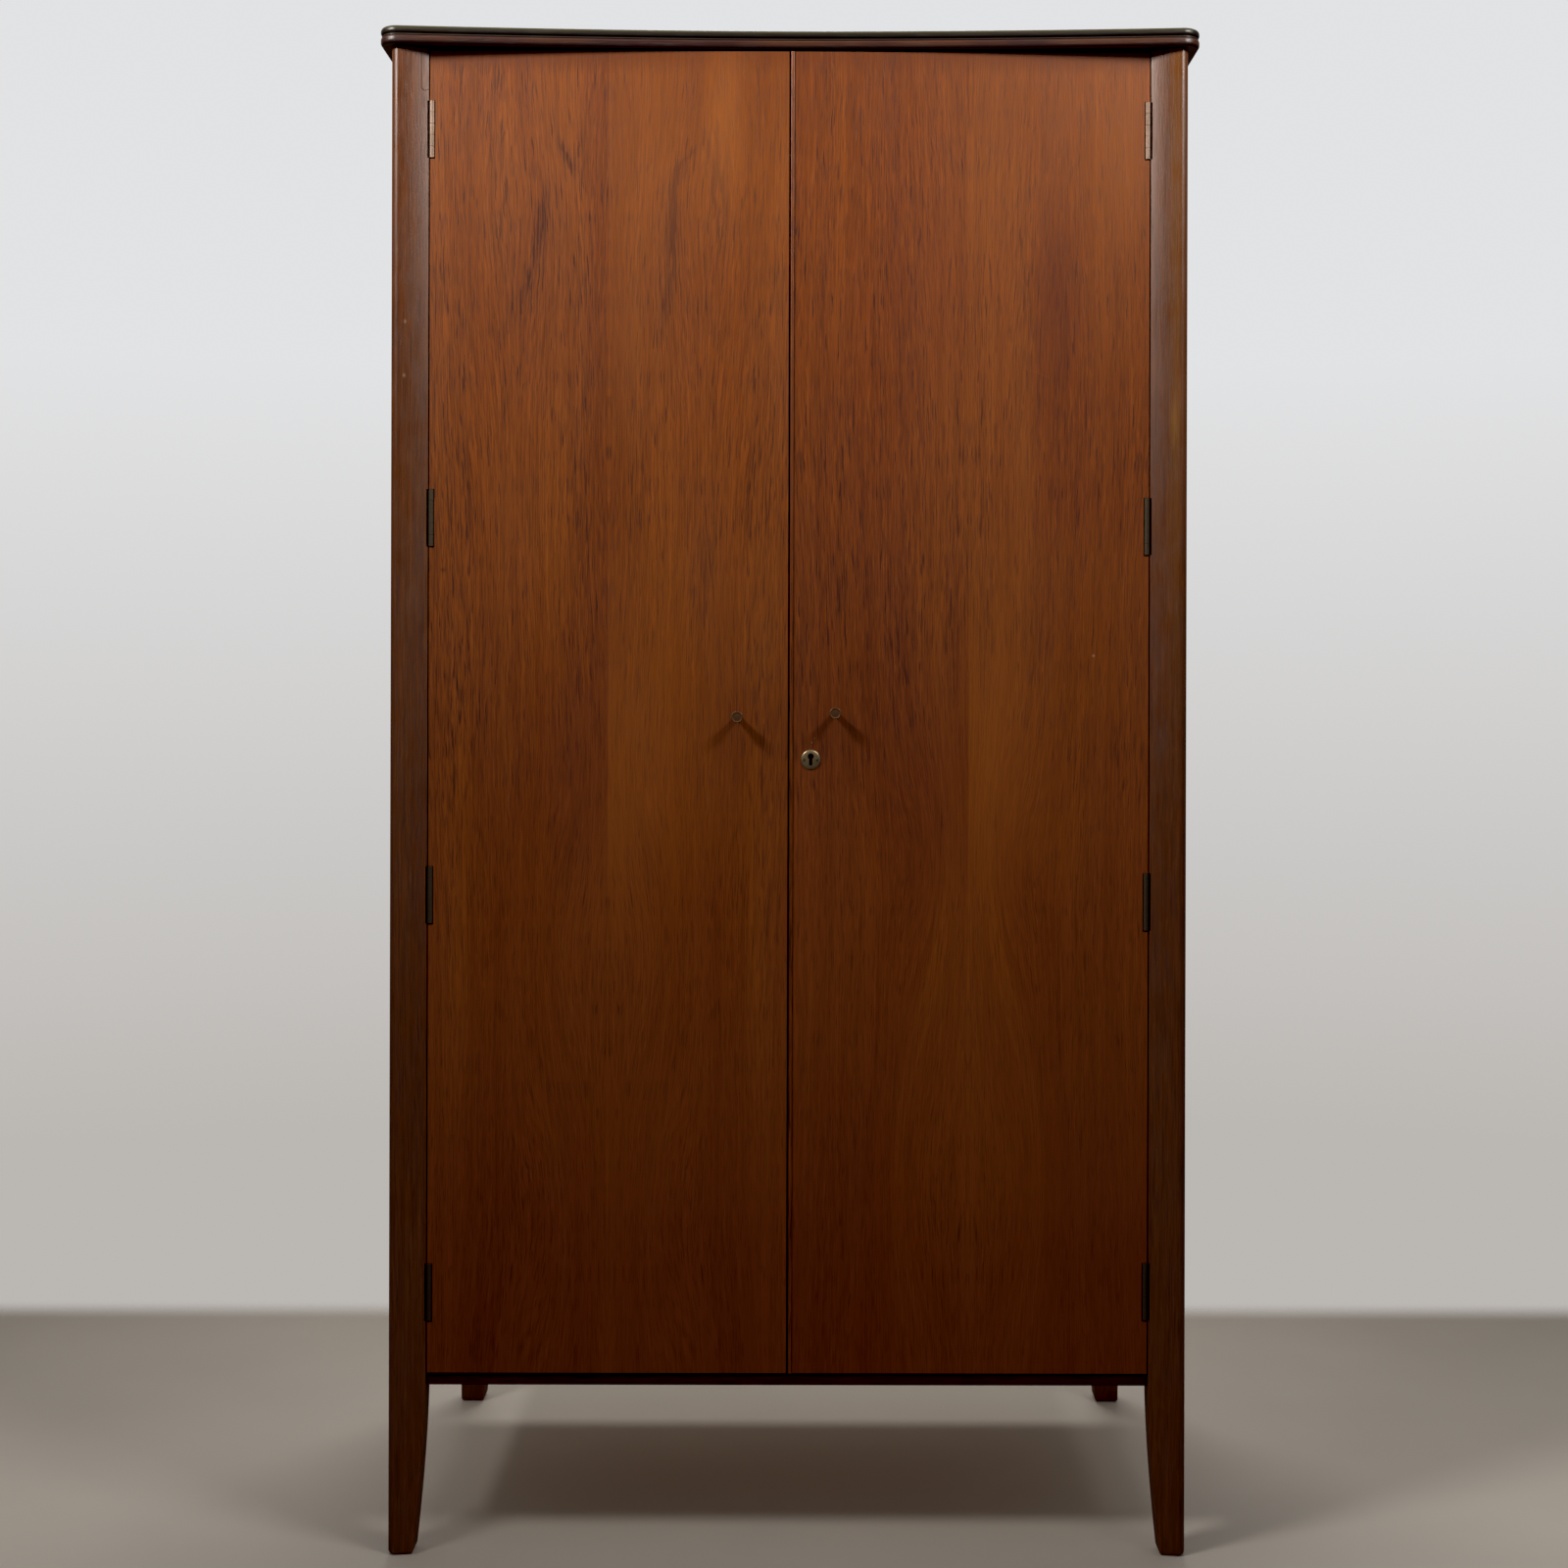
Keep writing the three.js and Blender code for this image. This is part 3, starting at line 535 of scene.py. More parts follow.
def top_tones_and_painted_light(shader, colour, place):
    """Near-black above, with painted highlight lines on the reeds; lower reed red-brown, its
    downward-facing part darkened as painted shade; underside painted as shadow in the middle and lit brown
    at the outer ends.
    """
    rise = shader.minus(place[2], lowest("top_board").z)
    stretched = shader.join(shader.times(place[0], 9), place[1], 0.0)
    # Uneven along the length: varies the lower reed's red-brown and its painted highlight.
    wear_and_sheen = shader.between(shader.noise(stretched), 0.4, 0.65)

    def strip(low, high, soft):
        """A band round the edge between two heights above the underside, in millimetres."""
        above = shader.between(rise, (low - soft) * MM, (low + soft) * MM)
        below = shader.between(rise, (high + soft) * MM, (high - soft) * MM)
        return shader.times(above, below)

    red = shader.mix(wear_and_sheen, (0.032, 0.007, 0.003), (0.066, 0.019, 0.006))
    # pale is the colour of the painted highlight along the lower reed.
    pale = shader.mix(wear_and_sheen, (0.105, 0.045, 0.036), (0.150, 0.060, 0.025))
    colour = shader.mix(shader.between(rise, 9.2 * MM, 8.4 * MM), colour, red)
    # Painted shade on the lower reed's downward-facing part.
    colour = shader.mix(shader.between(rise, 4.0 * MM, 2.0 * MM), colour, (0.014, 0.004, 0.002))
    # Painted highlight lines: along the lower reed, on the fillet above it, and along the upper reed's top.
    colour = shader.tint(colour, pale, strip(7.2, 8.4, 0.6), 0.5)
    colour = shader.tint(colour, (0.085, 0.052, 0.045), strip(9.9, 10.9, 0.3), 0.5)
    colour = shader.tint(colour, (0.070, 0.062, 0.020), strip(17.0, 19.2, 0.7), 0.75)
    # The underside: painted shadow in the middle, painted light in brown at the outer ends.
    outer = shader.between(shader.absolute(place[0]), 0.436, 0.446)
    underside_shade_and_light = shader.mix(outer, (0.022, 0.009, 0.005), (0.105, 0.060, 0.038))
    return shader.mix(shader.between(rise, 0.4 * MM, 0.1 * MM), colour, underside_shade_and_light)


def wood_materials():
    doors = {"crowding": door_crowding, "marks_and_painted_light": door_marks_and_painted_light, "gloss_level": 0.42,
             "roughness": (0.40, 0.48), "calm": (0.98, 0.60)}
    posts = {"flow": 0.02, "pores": 0.4, "gloss_level": 0.75, "roughness": (0.35, 0.43), "mottle": 0.3}
    inside = {"pores": 0.25, "lines": 0.35, "roughness": (0.5, 0.65)}
    return {
        "left_door": wood(
            "teak_veneer_left", TEAK, mirror=DOOR_JOIN_X["left"], **doors,
            figures=((0.060, 0.36, 0.040, 0.16, 0.050), (0.050, 0.66, 0.034, 0.15, -0.040),
                     (0.075, 1.50, 0.030, 0.11, 0.015), (0.055, 1.60, 0.024, 0.10, -0.011))),
        "right_door": wood(
            "teak_veneer_right", TEAK, mirror=DOOR_JOIN_X["right"], **doors, seed=3.7,
            figures=((0.050, 0.783, 0.036, 0.11, 0.046), (0.060, 0.40, 0.038, 0.17, -0.048))),
        "side_veneer": wood("teak_veneer_sides", TEAK, flow=0.16, seed=7.1),
        "patched_post": wood("patched_post_wood", POST_WOOD, seed=2.6, marks_and_painted_light=post_patch, **posts),
        "golden_post": wood("golden_post_wood", POST_WOOD, seed=1.9, marks_and_painted_light=golden_post, **posts),
        "post": wood("post_wood", POST_WOOD, seed=1.9, **posts),
        "rail": wood("front_rail_wood", RAIL_WOOD, grain="x", flow=0.03, seed=5.3),
        "bead": wood("bead_wood", TEAK, flow=0.03, seed=8.8, gloss_level=0.8, roughness=(0.3, 0.36)),
        "top": wood("top_wood", TOP_WOOD, grain="x", flow=0.04, pores=0.35, seed=2.4,
                    gloss_level=0.6, roughness=(0.32, 0.40), marks_and_painted_light=top_tones_and_painted_light),
        "inner": wood("inner_wood", INNER_WOOD, grain="x", seed=4.4, **inside),
        "inner_y": wood("cleat_wood", INNER_WOOD, grain="y", seed=6.6, **inside),
        "ply": wood("plywood", PLY_WOOD, flow=0.22, pores=0.15, lines=0.4, seed=9.1,
                    roughness=(0.55, 0.7)),
    }


# ---- metal

METAL_SCRATCH_DEPTH = 0.04 * MM


def metal(name, clean, aged, patina, roughness, scratch=0.12, cloud_scale=90, seed=0.0, metallic=1.0):
    """Old metal: clean where it is rubbed, aged elsewhere, with small darker freckles."""
    shader = Shader(name)
    x, y, z = shader.split(shader.coordinates())
    moved = shader.join(shader.plus(x, seed), y, z)
    cloud = shader.between(shader.noise(moved, cloud_scale, detail=4), 0.34, 0.70)
    freckle = shader.between(shader.noise(moved, 900, detail=2), 0.56, 0.7)
    fine = shader.join(shader.times(x, 600), shader.times(y, 600), shader.times(z, 4200))
    hair = shader.noise(fine, 1, detail=2)
    colour = shader.tint(clean, aged, cloud, patina)
    colour = shader.tint(colour, tuple(c * 0.35 for c in aged), freckle, 0.5 * patina)
    rough = shader.scaled(cloud, roughness[1] - roughness[0], roughness[0])
    rough = shader.plus(rough, shader.times(hair, 0.06))
    relief = shader.plus(shader.times(hair, scratch), shader.times(freckle, -0.4))
    return shader.finish(colour, rough, relief, bump_height=METAL_SCRATCH_DEPTH, Metallic=metallic)


def metal_materials():
    hinge = {"patina": 0.5, "roughness": (0.50, 0.56), "scratch": 0.05, "cloud_scale": 30}
    return {
        "hinge_bright": metal("hinge_brass_pale", (0.34, 0.245, 0.19), (0.25, 0.175, 0.13), **hinge),
        "hinge_dark": metal("hinge_brass_dark", (0.110, 0.082, 0.050), (0.075, 0.056, 0.034), **hinge,
                            seed=0.7, metallic=0.6),
        "knob": metal("knob_brass", (0.29, 0.155, 0.078), (0.19, 0.092, 0.040), 0.7, (0.50, 0.60),
                      seed=4.4),
        "brass": metal("aged_brass", (0.62, 0.48, 0.28), (0.26, 0.19, 0.09), 0.75, (0.24, 0.42),
                       seed=1.3, metallic=0.75),
        "steel": metal("dull_steel", (0.42, 0.41, 0.39), (0.20, 0.19, 0.18), 0.6, (0.3, 0.5), seed=2.2),
        "chrome": metal("plated_steel", (0.66, 0.66, 0.67), (0.42, 0.42, 0.42), 0.4, (0.12, 0.28),
                        seed=3.1),
    }


# ---- mesh helpers


def add_object(name, bm, material, node=None, body=None, sharp=30):
    """Makes a piece from a bmesh; it rides on the body of the CAD node that it stands for, or on body."""
    mesh = mesh_from(name, bm)
    mesh.materials.append(material)
    mesh.shade_smooth()
    mesh.set_sharp_from_angle(angle=math.radians(sharp))
    piece = placed(name, mesh)
    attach(piece, body or BODY_OF[node])
    if node:
        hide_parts(node)
    return piece


def apply_modifiers(piece):
    evaluated = piece.evaluated_get(bpy.context.evaluated_depsgraph_get())
    finished = bpy.data.meshes.new_from_object(evaluated)
    old = piece.data
    piece.modifiers.clear()
    piece.data = finished
    bpy.data.meshes.remove(old)


def cut_with(piece, cutters):
    """Cuts closed meshes out of a piece."""
    for cutter in cutters:
        modifier = piece.modifiers.new("cut", "BOOLEAN")
        modifier.operation = "DIFFERENCE"
        modifier.solver = "EXACT"
        modifier.object = cutter
    apply_modifiers(piece)
    for cutter in cutters:
        mesh = cutter.data
        bpy.data.objects.remove(cutter)
        bpy.data.meshes.remove(mesh)


def ease(piece, width, segments, angle=35):
    """Rounds a piece's sharp edges and keeps its flat faces flat in the light."""
    bevel = piece.modifiers.new("ease", "BEVEL")
    bevel.width = width
    bevel.segments = segments
    bevel.limit_method = "ANGLE"
    bevel.angle_limit = math.radians(angle)
    bevel.use_clamp_overlap = True
    weighted = piece.modifiers.new("flat", "WEIGHTED_NORMAL")
    weighted.keep_sharp = True
    apply_modifiers(piece)


def eased_copy(node, material, width, cutters=()):
    """A CAD node's own shape with its flat faces made whole, less the cutters, with its edges eased."""
    bm = bmesh.new()
    bm.from_mesh(frame["nodes"][node].data)
    bmesh.ops.remove_doubles(bm, verts=bm.verts, dist=1e-6)
    bmesh.ops.dissolve_limit(bm, angle_limit=math.radians(0.4), verts=bm.verts, edges=bm.edges)
    piece = finish_node(node, bm, material, sharp=32)
    if cutters:
        cut_with(piece, cutters)
    ease(piece, width, segments=3)


def block(bm, low, high):
    """A box between two corners, added to a bmesh."""
    low, high = Vector(low), Vector(high)
    size = high - low
    matrix = Matrix.Translation((low + high) / 2) @ Matrix.Diagonal((*[abs(s) for s in size], 1))
    bmesh.ops.create_cube(bm, size=1, matrix=matrix)


def tool_object(bm):
    """A hidden object to cut with; cut_with() removes it again."""
    cutter = placed("cutter", mesh_from("cutter", bm))
    cutter.hide_render = True
    return cutter


def turn(bm, profile, centre, axis="y", sides=48, sign=-1):
    """Turns (radius, distance) points about an axis; distance runs along it times sign."""
    rings = []
    for radius, distance in profile:
        ring = []
        count = 1 if radius < 1e-7 else sides
        for i in range(count):
            angle = 2 * math.pi * i / sides
            a, b = radius * math.cos(angle), radius * math.sin(angle)
            along = sign * distance
            offset = {"y": (a, along, b), "z": (a, b, along), "x": (along, a, b)}[axis]
            ring.append(bm.verts.new(Vector(centre) + Vector(offset)))
        rings.append(ring)
    for first, second in zip(rings, rings[1:]):
        for i in range(sides):
            j = (i + 1) % sides
            corners = [first[i % len(first)], first[j % len(first)],
                       second[j % len(second)], second[i % len(second)]]
            unique = [v for k, v in enumerate(corners) if v not in corners[:k]]
            if len(unique) > 2:
                bm.faces.new(unique)


def loft(bm, sections):
    """Closed skin over rings of points that all have the same count."""
    rings = [[bm.verts.new(p) for p in section] for section in sections]
    count = len(rings[0])
    for first, second in zip(rings, rings[1:]):
        for i in range(count):
            j = (i + 1) % count
            bm.faces.new((first[i], first[j], second[j], second[i]))
    bm.faces.new(rings[0][::-1])
    bm.faces.new(rings[-1])


def finish_node(node, bm, material, sharp=40):
    """Stands a bmesh in the place of one CAD node."""
    return add_object(f"{node}_finished", bm, material, node, sharp=sharp)


def turned_node(node, profile, centre, material, sharp=40, **how):
    bm = bmesh.new()
    turn(bm, profile, centre, **how)
    return finish_node(node, bm, material, sharp)


def in_mm(points):
    return [(a * MM, b * MM) for a, b in points]


def back_centre(node):
    """The middle of a piece's back face, where it stands on the door."""
    return (middle(node).x, highest(node).y, middle(node).z)


def arc(cx, cy, radius, start, end, steps):
    """Points round a centre from one angle to another, in degrees."""
    return [(cx + radius * math.cos(math.radians(start + (end - start) * i / steps)),
             cy + radius * math.sin(math.radians(start + (end - start) * i / steps)))
            for i in range(steps + 1)]


# ---- top board

TOP_CORNER = 20 * MM
TOP_SAG = 17.5 * MM
TOP_SAG_POWER = 1.75
TOP_FRONT_STEPS = 64
TOP_CORNER_STEPS = 14


def top_outline(inset):
    """The top's plan, drawn in along the front and sides; the back edge stays square."""
    low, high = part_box("top_board")
    half = high.x - inset
    radius = TOP_CORNER - inset
    front = low.y + inset
    flat = half - radius
    points = [(half, high.y), (-half, high.y)]
    points += arc(-flat, front + radius, radius, 180, 270, TOP_CORNER_STEPS)
    for i in range(1, TOP_FRONT_STEPS):
        x = -flat + 2 * flat * i / TOP_FRONT_STEPS
        points.append((x, front + TOP_SAG * (1 - abs(x / flat) ** TOP_SAG_POWER)))
    points += arc(flat, front + radius, radius, 270, 360, TOP_CORNER_STEPS)
    return points


def top_edge():
    """(height above the underside, inset) up the lower reed, the quirk and the upper reed."""
    lower = [(4.4 - 4.4 * math.cos(math.radians(a)), 2.6 - 2.6 * math.sin(math.radians(a)))
             for a in range(0, 91, 15)]
    body = [(6.9, 0.05), (8.2, 0.35), (9.0, 1.0)]
    quirk = [(9.2, 1.7), (9.45, 1.75), (9.7, 1.25), (10.3, 1.1), (10.9, 1.4), (11.25, 2.1)]
    groove = [(11.6, 2.5), (12.0, 2.3), (12.35, 1.4)]
    upper = [(12.8, 0.7), (13.6, 0.2), (14.6, 0.0), (15.8, 0.05)]
    brow = [(15.8 + 4.2 * math.sin(math.radians(a)), 0.05 + 3.6 * (1 - math.cos(math.radians(a))))
            for a in range(15, 91, 15)]
    return in_mm(lower + body + quirk + groove + upper + brow)


def make_top(material):
    under = lowest("top_board").z
    bm = bmesh.new()
    loft(bm, [[(x, y, under + rise) for x, y in top_outline(inset)] for rise, inset in top_edge()])
    finish_node("top_board", bm, material, sharp=50)


# ---- posts

NOSE_RADIUS = 8 * MM
NOSE_PROUD = 12.5 * MM
BACK_RADIUS = 4 * MM
LEG_TOP = lowest("left_side_panel").z
FRONT_FOOT = (28 * MM, 29 * MM)
BACK_FOOT = (30 * MM, 32 * MM)
TAPER_POWER = 1.6
FOOT_ROUND = 5 * MM
PATCH_LENGTH = 47 * MM


def set_back(across, full_width, proud):
    """How far the nose's face lies behind its foremost line, at a place across the post."""
    share = (across - NOSE_RADIUS) / (full_width - NOSE_RADIUS)
    return proud * (0.64 * share + 0.36 * share * share)


def front_section(width, depth, full_width, proud):
    """(across, depth) from the post's outer front: a rounded nose, then a hollow face to the door."""
    nose = arc(NOSE_RADIUS, NOSE_RADIUS, NOSE_RADIUS, 180, 270, 14)
    face = []
    for i in range(1, 17):
        across = NOSE_RADIUS + (width - NOSE_RADIUS) * i / 16
        face.append((across, set_back(across, full_width, proud)))
    return [(0, depth), *nose, *face, (width, depth)]


def back_section(width, depth, *_):
    """(across, depth) of a plain post with a rounded outer corner and a softened inner one."""
    radius = BACK_RADIUS
    soft = 0.8 * MM
    inner = arc(width - soft, soft, soft, 270, 360, 3)
    return [(0, depth), *arc(radius, radius, radius, 180, 270, 10), *inner, (width, depth)]


def patch_cutter(outer, front, width, top):
    """The joint line round the piece let in at the top of the left post's inner edge."""
    right = lowest("left_door").x - 1.6 * MM
    left = right - 7.5 * MM
    bottom = top - PATCH_LENGTH
    radius = 3.4 * MM
    line = 0.8 * MM

    def outline(grow):
        bend = radius + grow
        points = [(left - grow, top + 1 * MM)]
        points += arc(left + radius, bottom + radius, bend, 180, 270, 6)
        points += arc(right - radius, bottom + radius, bend, 270, 360, 6)
        return points + [(right + grow, bottom + 3 * radius)]

    ring = outline(line / 2) + outline(-line / 2)[::-1]
    deep = [(x, front + set_back(x - outer, width, NOSE_PROUD) + 0.7 * MM, z) for x, z in ring]
    bm = bmesh.new()
    loft(bm, [[(x, front - 1 * MM, z) for x, z in ring], deep])
    return tool_object(bm)


def leaf_cutter(name, side, number, inner_face, front):
    """The rebate in the post that one hinge's frame leaf lies in."""
    low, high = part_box(f"{name}_hinge_{number}_frame_leaf")
    bm = bmesh.new()
    block(bm, (inner_face - side * 5 * MM, front - 5 * MM, low.z - 0.25 * MM),
          (inner_face + side * 1.5 * MM, high.y + 0.3 * MM, high.z + 0.25 * MM))
    return tool_object(bm)


def make_post(name, side, front, material):
    """One post from floor to top: its leg tapers below the carcass and ends in a rounded foot."""
    node = f"{'front' if front else 'back'}_{name}_post"
    low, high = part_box(node)
    full = (high.x - low.x, high.y - low.y)
    foot = FRONT_FOOT if front else BACK_FOOT
    outer = low.x if side < 0 else high.x
    end = low.y if front else high.y
    section_of = front_section if front else back_section

    def section(z, inset=0.0):
        fall = max(0.0, (LEG_TOP - z) / LEG_TOP) ** TAPER_POWER
        width, depth = (f + (s - f) * fall for f, s in zip(full, foot))
        points = []
        for u, v in section_of(width, depth, full[0], NOSE_PROUD * (1 - 0.6 * fall)):
            u = width / 2 + (u - width / 2) * (1 - 2 * inset / width)
            v = depth / 2 + (v - depth / 2) * (1 - 2 * inset / depth)
            points.append((outer - side * u, end + (v if front else -v), z))
        return points

    sections = []
    for i in range(7):
        angle = math.radians(90 * i / 6)
        inset = 0.8 * FOOT_ROUND * (1 - math.sin(angle))
        sections.append(section(FOOT_ROUND * (1 - math.cos(angle)), inset))
    rings = 26
    sections += [section(FOOT_ROUND + (LEG_TOP - FOOT_ROUND) * i / rings) for i in range(1, rings + 1)]
    sections.append(section(high.z))
    bm = bmesh.new()
    loft(bm, sections)
    piece = finish_node(node, bm, material)
    if front:
        cutters = [patch_cutter(outer, end, full[0], high.z)] if side < 0 else []
        for number in HINGES:
            cutters.append(leaf_cutter(name, side, number, outer - side * full[0], end))
        cut_with(piece, cutters)
        piece.data.shade_smooth()
        piece.data.set_sharp_from_angle(angle=math.radians(40))


# ---- doors and flat work


def barrel_recess(name, side, number):
    """The shallow recess in the door's front edge that each hinge barrel stands in."""
    low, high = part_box(f"{name}_hinge_{number}_pin")
    axis = (low.x + high.x) / 2
    ends = sorted((axis + side * 6 * MM, axis - side * (BARREL_RADIUS + 0.6 * MM)))
    bm = bmesh.new()
    block(bm, (ends[0], DOOR_FACE_Y - 2 * MM, low.z - 1.3 * MM),
          (ends[1], DOOR_FACE_Y + 2.5 * MM, high.z + 0.5 * MM))
    return tool_object(bm)


def make_flat_work(woods):
    for name, side in SIDES.items():
        recesses = [barrel_recess(name, side, number) for number in HINGES]
        eased_copy(f"{name}_door", woods[f"{name}_door"], 0.7 * MM, recesses)
        eased_copy(f"{name}_side_panel", woods["side_veneer"], 0.8 * MM)
        eased_copy(f"{name}_shelf_cleat", woods["inner_y"], 1.2 * MM)
    eased_copy("bottom_front_rail", woods["rail"], 1.4 * MM)
    eased_copy("back_panel", woods["ply"], 0.5 * MM)
    for node in ("bottom_board", "bottom_back_rail", "top_front_rail", "top_back_rail", "hat_shelf"):
        eased_copy(node, woods["inner"], 1.0 * MM)


def make_bead(material):
    low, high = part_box("meeting_bead")
    width = high.x - low.x
    radius = width / 2
    crown = arc(low.x + radius, low.y + radius * 0.8, radius, 180, 360, 14)
    crown = [(x, low.y + (y - low.y) * 0.9) for x, y in crown]
    points = [(high.x, high.y), (low.x, high.y), *[(x, max(y, low.y)) for x, y in crown]]
    bm = bmesh.new()
    loft(bm, [[(x, y, z) for x, y in points] for z in (low.z, high.z)])
    finish_node("meeting_bead", bm, material)


# ---- screws

SCREW = {}
SCREW_PROFILE = ((0, 0.35), (1.2, 0.33), (2.2, 0.2), (2.9, 0.0), (2.95, -0.1), (1.6, -1.0), (0, -1.0))


def screw_mesh():
    """One countersunk slotted head, 6 mm across, facing -Y at the origin."""
    bm = bmesh.new()
    turn(bm, in_mm(SCREW_PROFILE), (0, 0, 0), sides=28)
    head = placed("screw", mesh_from("screw", bm))
    slot = bmesh.new()
    block(slot, (-4 * MM, -2 * MM, -0.35 * MM), (4 * MM, 0.25 * MM, 0.35 * MM))
    cut_with(head, [tool_object(slot)])
    result = head.data
    bpy.data.objects.remove(head)
    return result


def make_screws(name, places, direction, body, material, scale):
    """Joins copies of the screw head at each place, facing the direction, turned at odd angles."""
    if "head" not in SCREW:
        SCREW["head"] = screw_mesh()
    facing = Vector((0, -1, 0)).rotation_difference(Vector(direction)).to_matrix().to_4x4()
    bm = bmesh.new()
    for i, place in enumerate(places):
        slot_turn = Matrix.Rotation(math.radians(37 + 71 * i), 4, "Y")
        matrix = Matrix.Translation(place) @ facing @ slot_turn @ Matrix.Scale(scale, 4)
        before = len(bm.verts)
        bm.from_mesh(SCREW["head"])
        bm.verts.ensure_lookup_table()
        bmesh.ops.transform(bm, matrix=matrix, verts=bm.verts[before:])
    piece = add_object(name, bm, material, body=body)


# ---- hinges

KNUCKLES = 5
KNUCKLE_GAP = 0.09 * MM
BARREL_RADIUS = 2.9 * MM
PIN_RADIUS = 1.4 * MM
LEAF_THICKNESS = 1.2 * MM
HINGE_SCREWS = (0.16, 0.5, 0.84)


def knuckle(bm, axis, low, high):
    """One turned length of the barrel, with soft ends."""
    soft = 0.18 * MM
    length = high - low
    rise = [(PIN_RADIUS, 0), (BARREL_RADIUS - soft, 0), (BARREL_RADIUS - soft * 0.3, soft * 0.3),
            (BARREL_RADIUS, soft), (BARREL_RADIUS, 2 * soft)]
    fall = [(BARREL_RADIUS, length - 2 * soft), (BARREL_RADIUS, length - soft),
            (BARREL_RADIUS - soft * 0.3, length - soft * 0.3), (BARREL_RADIUS - soft, length),
            (PIN_RADIUS, length), (PIN_RADIUS, 0)]
    turn(bm, rise + fall, (axis.x, axis.y, low), axis="z", sides=40, sign=1)


def make_hinge(name, side, number, metals):
    """A butt hinge: two leaves with their knuckles, the pin, and three screws in each leaf."""
    prefix = f"{name}_hinge_{number}"
    pin_low, pin_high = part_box(f"{prefix}_pin")
    axis = (pin_low + pin_high) / 2
    low, high = pin_low.z, pin_high.z
    pitch = (high - low) / KNUCKLES
    # The highest hinge takes the paler brass, the lower ones the darker brass.
    brass = metals["hinge_bright"] if number == HINGES[-1] else metals["hinge_dark"]
    door_edge = highest(f"{name}_door").x if side > 0 else lowest(f"{name}_door").x
    for leaf in ("frame_leaf", "door_leaf"):
        node = f"{prefix}_{leaf}"
        first = 0 if leaf == "frame_leaf" else 1
        leaf_low, leaf_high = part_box(node)
        # The frame's plate lies on the leaf's far side from the door, the door's plate in its edge.
        if leaf == "door_leaf":
            plate_x = (door_edge, door_edge - side * LEAF_THICKNESS)
        elif side < 0:
            plate_x = (leaf_low.x, leaf_low.x + LEAF_THICKNESS)
        else:
            plate_x = (leaf_high.x - LEAF_THICKNESS, leaf_high.x)
        bm = bmesh.new()
        start_y = axis.y + BARREL_RADIUS + 0.5 * MM
        block(bm, (plate_x[0], start_y, low), (plate_x[1], leaf_high.y, high))
        for i in range(first, KNUCKLES, 2):
            z0 = low + i * pitch + (KNUCKLE_GAP if i else 0)
            z1 = low + (i + 1) * pitch - (KNUCKLE_GAP if i < KNUCKLES - 1 else 0)
            knuckle(bm, axis, z0, z1)
            # The web that wraps from the plate to the knuckle
            block(bm, (plate_x[0], axis.y + 2.3 * MM, z0), (plate_x[1], start_y + 0.2 * MM, z1))
            if leaf == "frame_leaf":
                block(bm, (plate_x[1] if side < 0 else plate_x[0], axis.y + 1.5 * MM, z0),
                      (axis.x + side * 0.6 * MM, axis.y + 2.6 * MM, z1))
        finish_node(node, bm, brass, sharp=30)
    length = high - low
    pin = [(0, 0), (PIN_RADIUS * 0.7, 0), (PIN_RADIUS, 0.3 * MM), (PIN_RADIUS, length - 0.3 * MM),
           (PIN_RADIUS * 0.7, length), (0, length)]
    turned_node(f"{prefix}_pin", pin, (axis.x, axis.y, low), brass, 30, axis="z", sides=24, sign=1)

    screw_y = axis.y + 10.5 * MM
    heights = [low + (high - low) * share for share in HINGE_SCREWS]
    frame_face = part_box(f"front_{name}_post")[0 if side > 0 else 1].x
    make_screws(f"{prefix}_frame_screws", [(frame_face, screw_y, z) for z in heights],
                (-side, 0, 0), "carcass", brass, 0.9)
    make_screws(f"{prefix}_door_screws", [(door_edge, screw_y, z) for z in heights],
                (side, 0, 0), f"{name}_door", brass, 0.9)


# ---- knobs and lock

# (radius, distance) in millimetres: up the stem from the door, then back from the head's foremost plane
KNOB_STEM = ((0, 0), (4.1, 0), (4.2, 0.4), (3.9, 1.2), (3.5, 3), (3.5, 6), (3.9, 10), (4.8, 14.5))
KNOB_FLARE = ((5.8, 4.0), (6.25, 2.6))
KNOB_FACE = ((6.3, 0.25), (5.9, 0), (5.5, 0.03), (5.2, 0.22), (4.6, 0.34), (3.6, 0.3), (2.0, 0.22),
             (0, 0.2))


def make_knob(name, material):
    low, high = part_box(f"{name}_knob")
    reach = high.y - low.y
    rim = (high.x - low.x) / 2
    profile = in_mm(KNOB_STEM)
    profile += [(radius, reach - back) for radius, back in in_mm(KNOB_FLARE)]
    profile += [(rim, reach - 1.5 * MM), (rim, reach - 0.7 * MM)]
    profile += [(radius, reach - back) for radius, back in in_mm(KNOB_FACE)]
    turned_node(f"{name}_knob", profile, back_centre(f"{name}_knob"), material, 50, sides=64)


def keyhole_cutter(centre):
    """A round head above a narrower slot; slot is half its width."""
    bm = bmesh.new()
    x, y, z = centre
    head = 3.6 * MM
    slot = 2.0 * MM
    lift = 3.4 * MM
    drop = 6.4 * MM
    start = math.degrees(math.asin(slot / head))
    outline = arc(x, z + lift, head, -90 + start, 270 - start, 24)
    outline += [(x - slot, z - drop + 0.6 * MM), (x - slot + 0.6 * MM, z - drop),
                (x + slot - 0.6 * MM, z - drop), (x + slot, z - drop + 0.6 * MM)]
    loft(bm, [[(px, py, pz) for px, pz in outline] for py in (y - 8 * MM, y + 4 * MM)])
    return tool_object(bm)


# (radius, distance) in millimetres from the pin's buried end
PIN_PROFILE = ((0, 0), (0.6, 0), (0.6, 8.2), (1.25, 8.25), (1.15, 8.6), (0.7, 8.95), (0, 9.08))


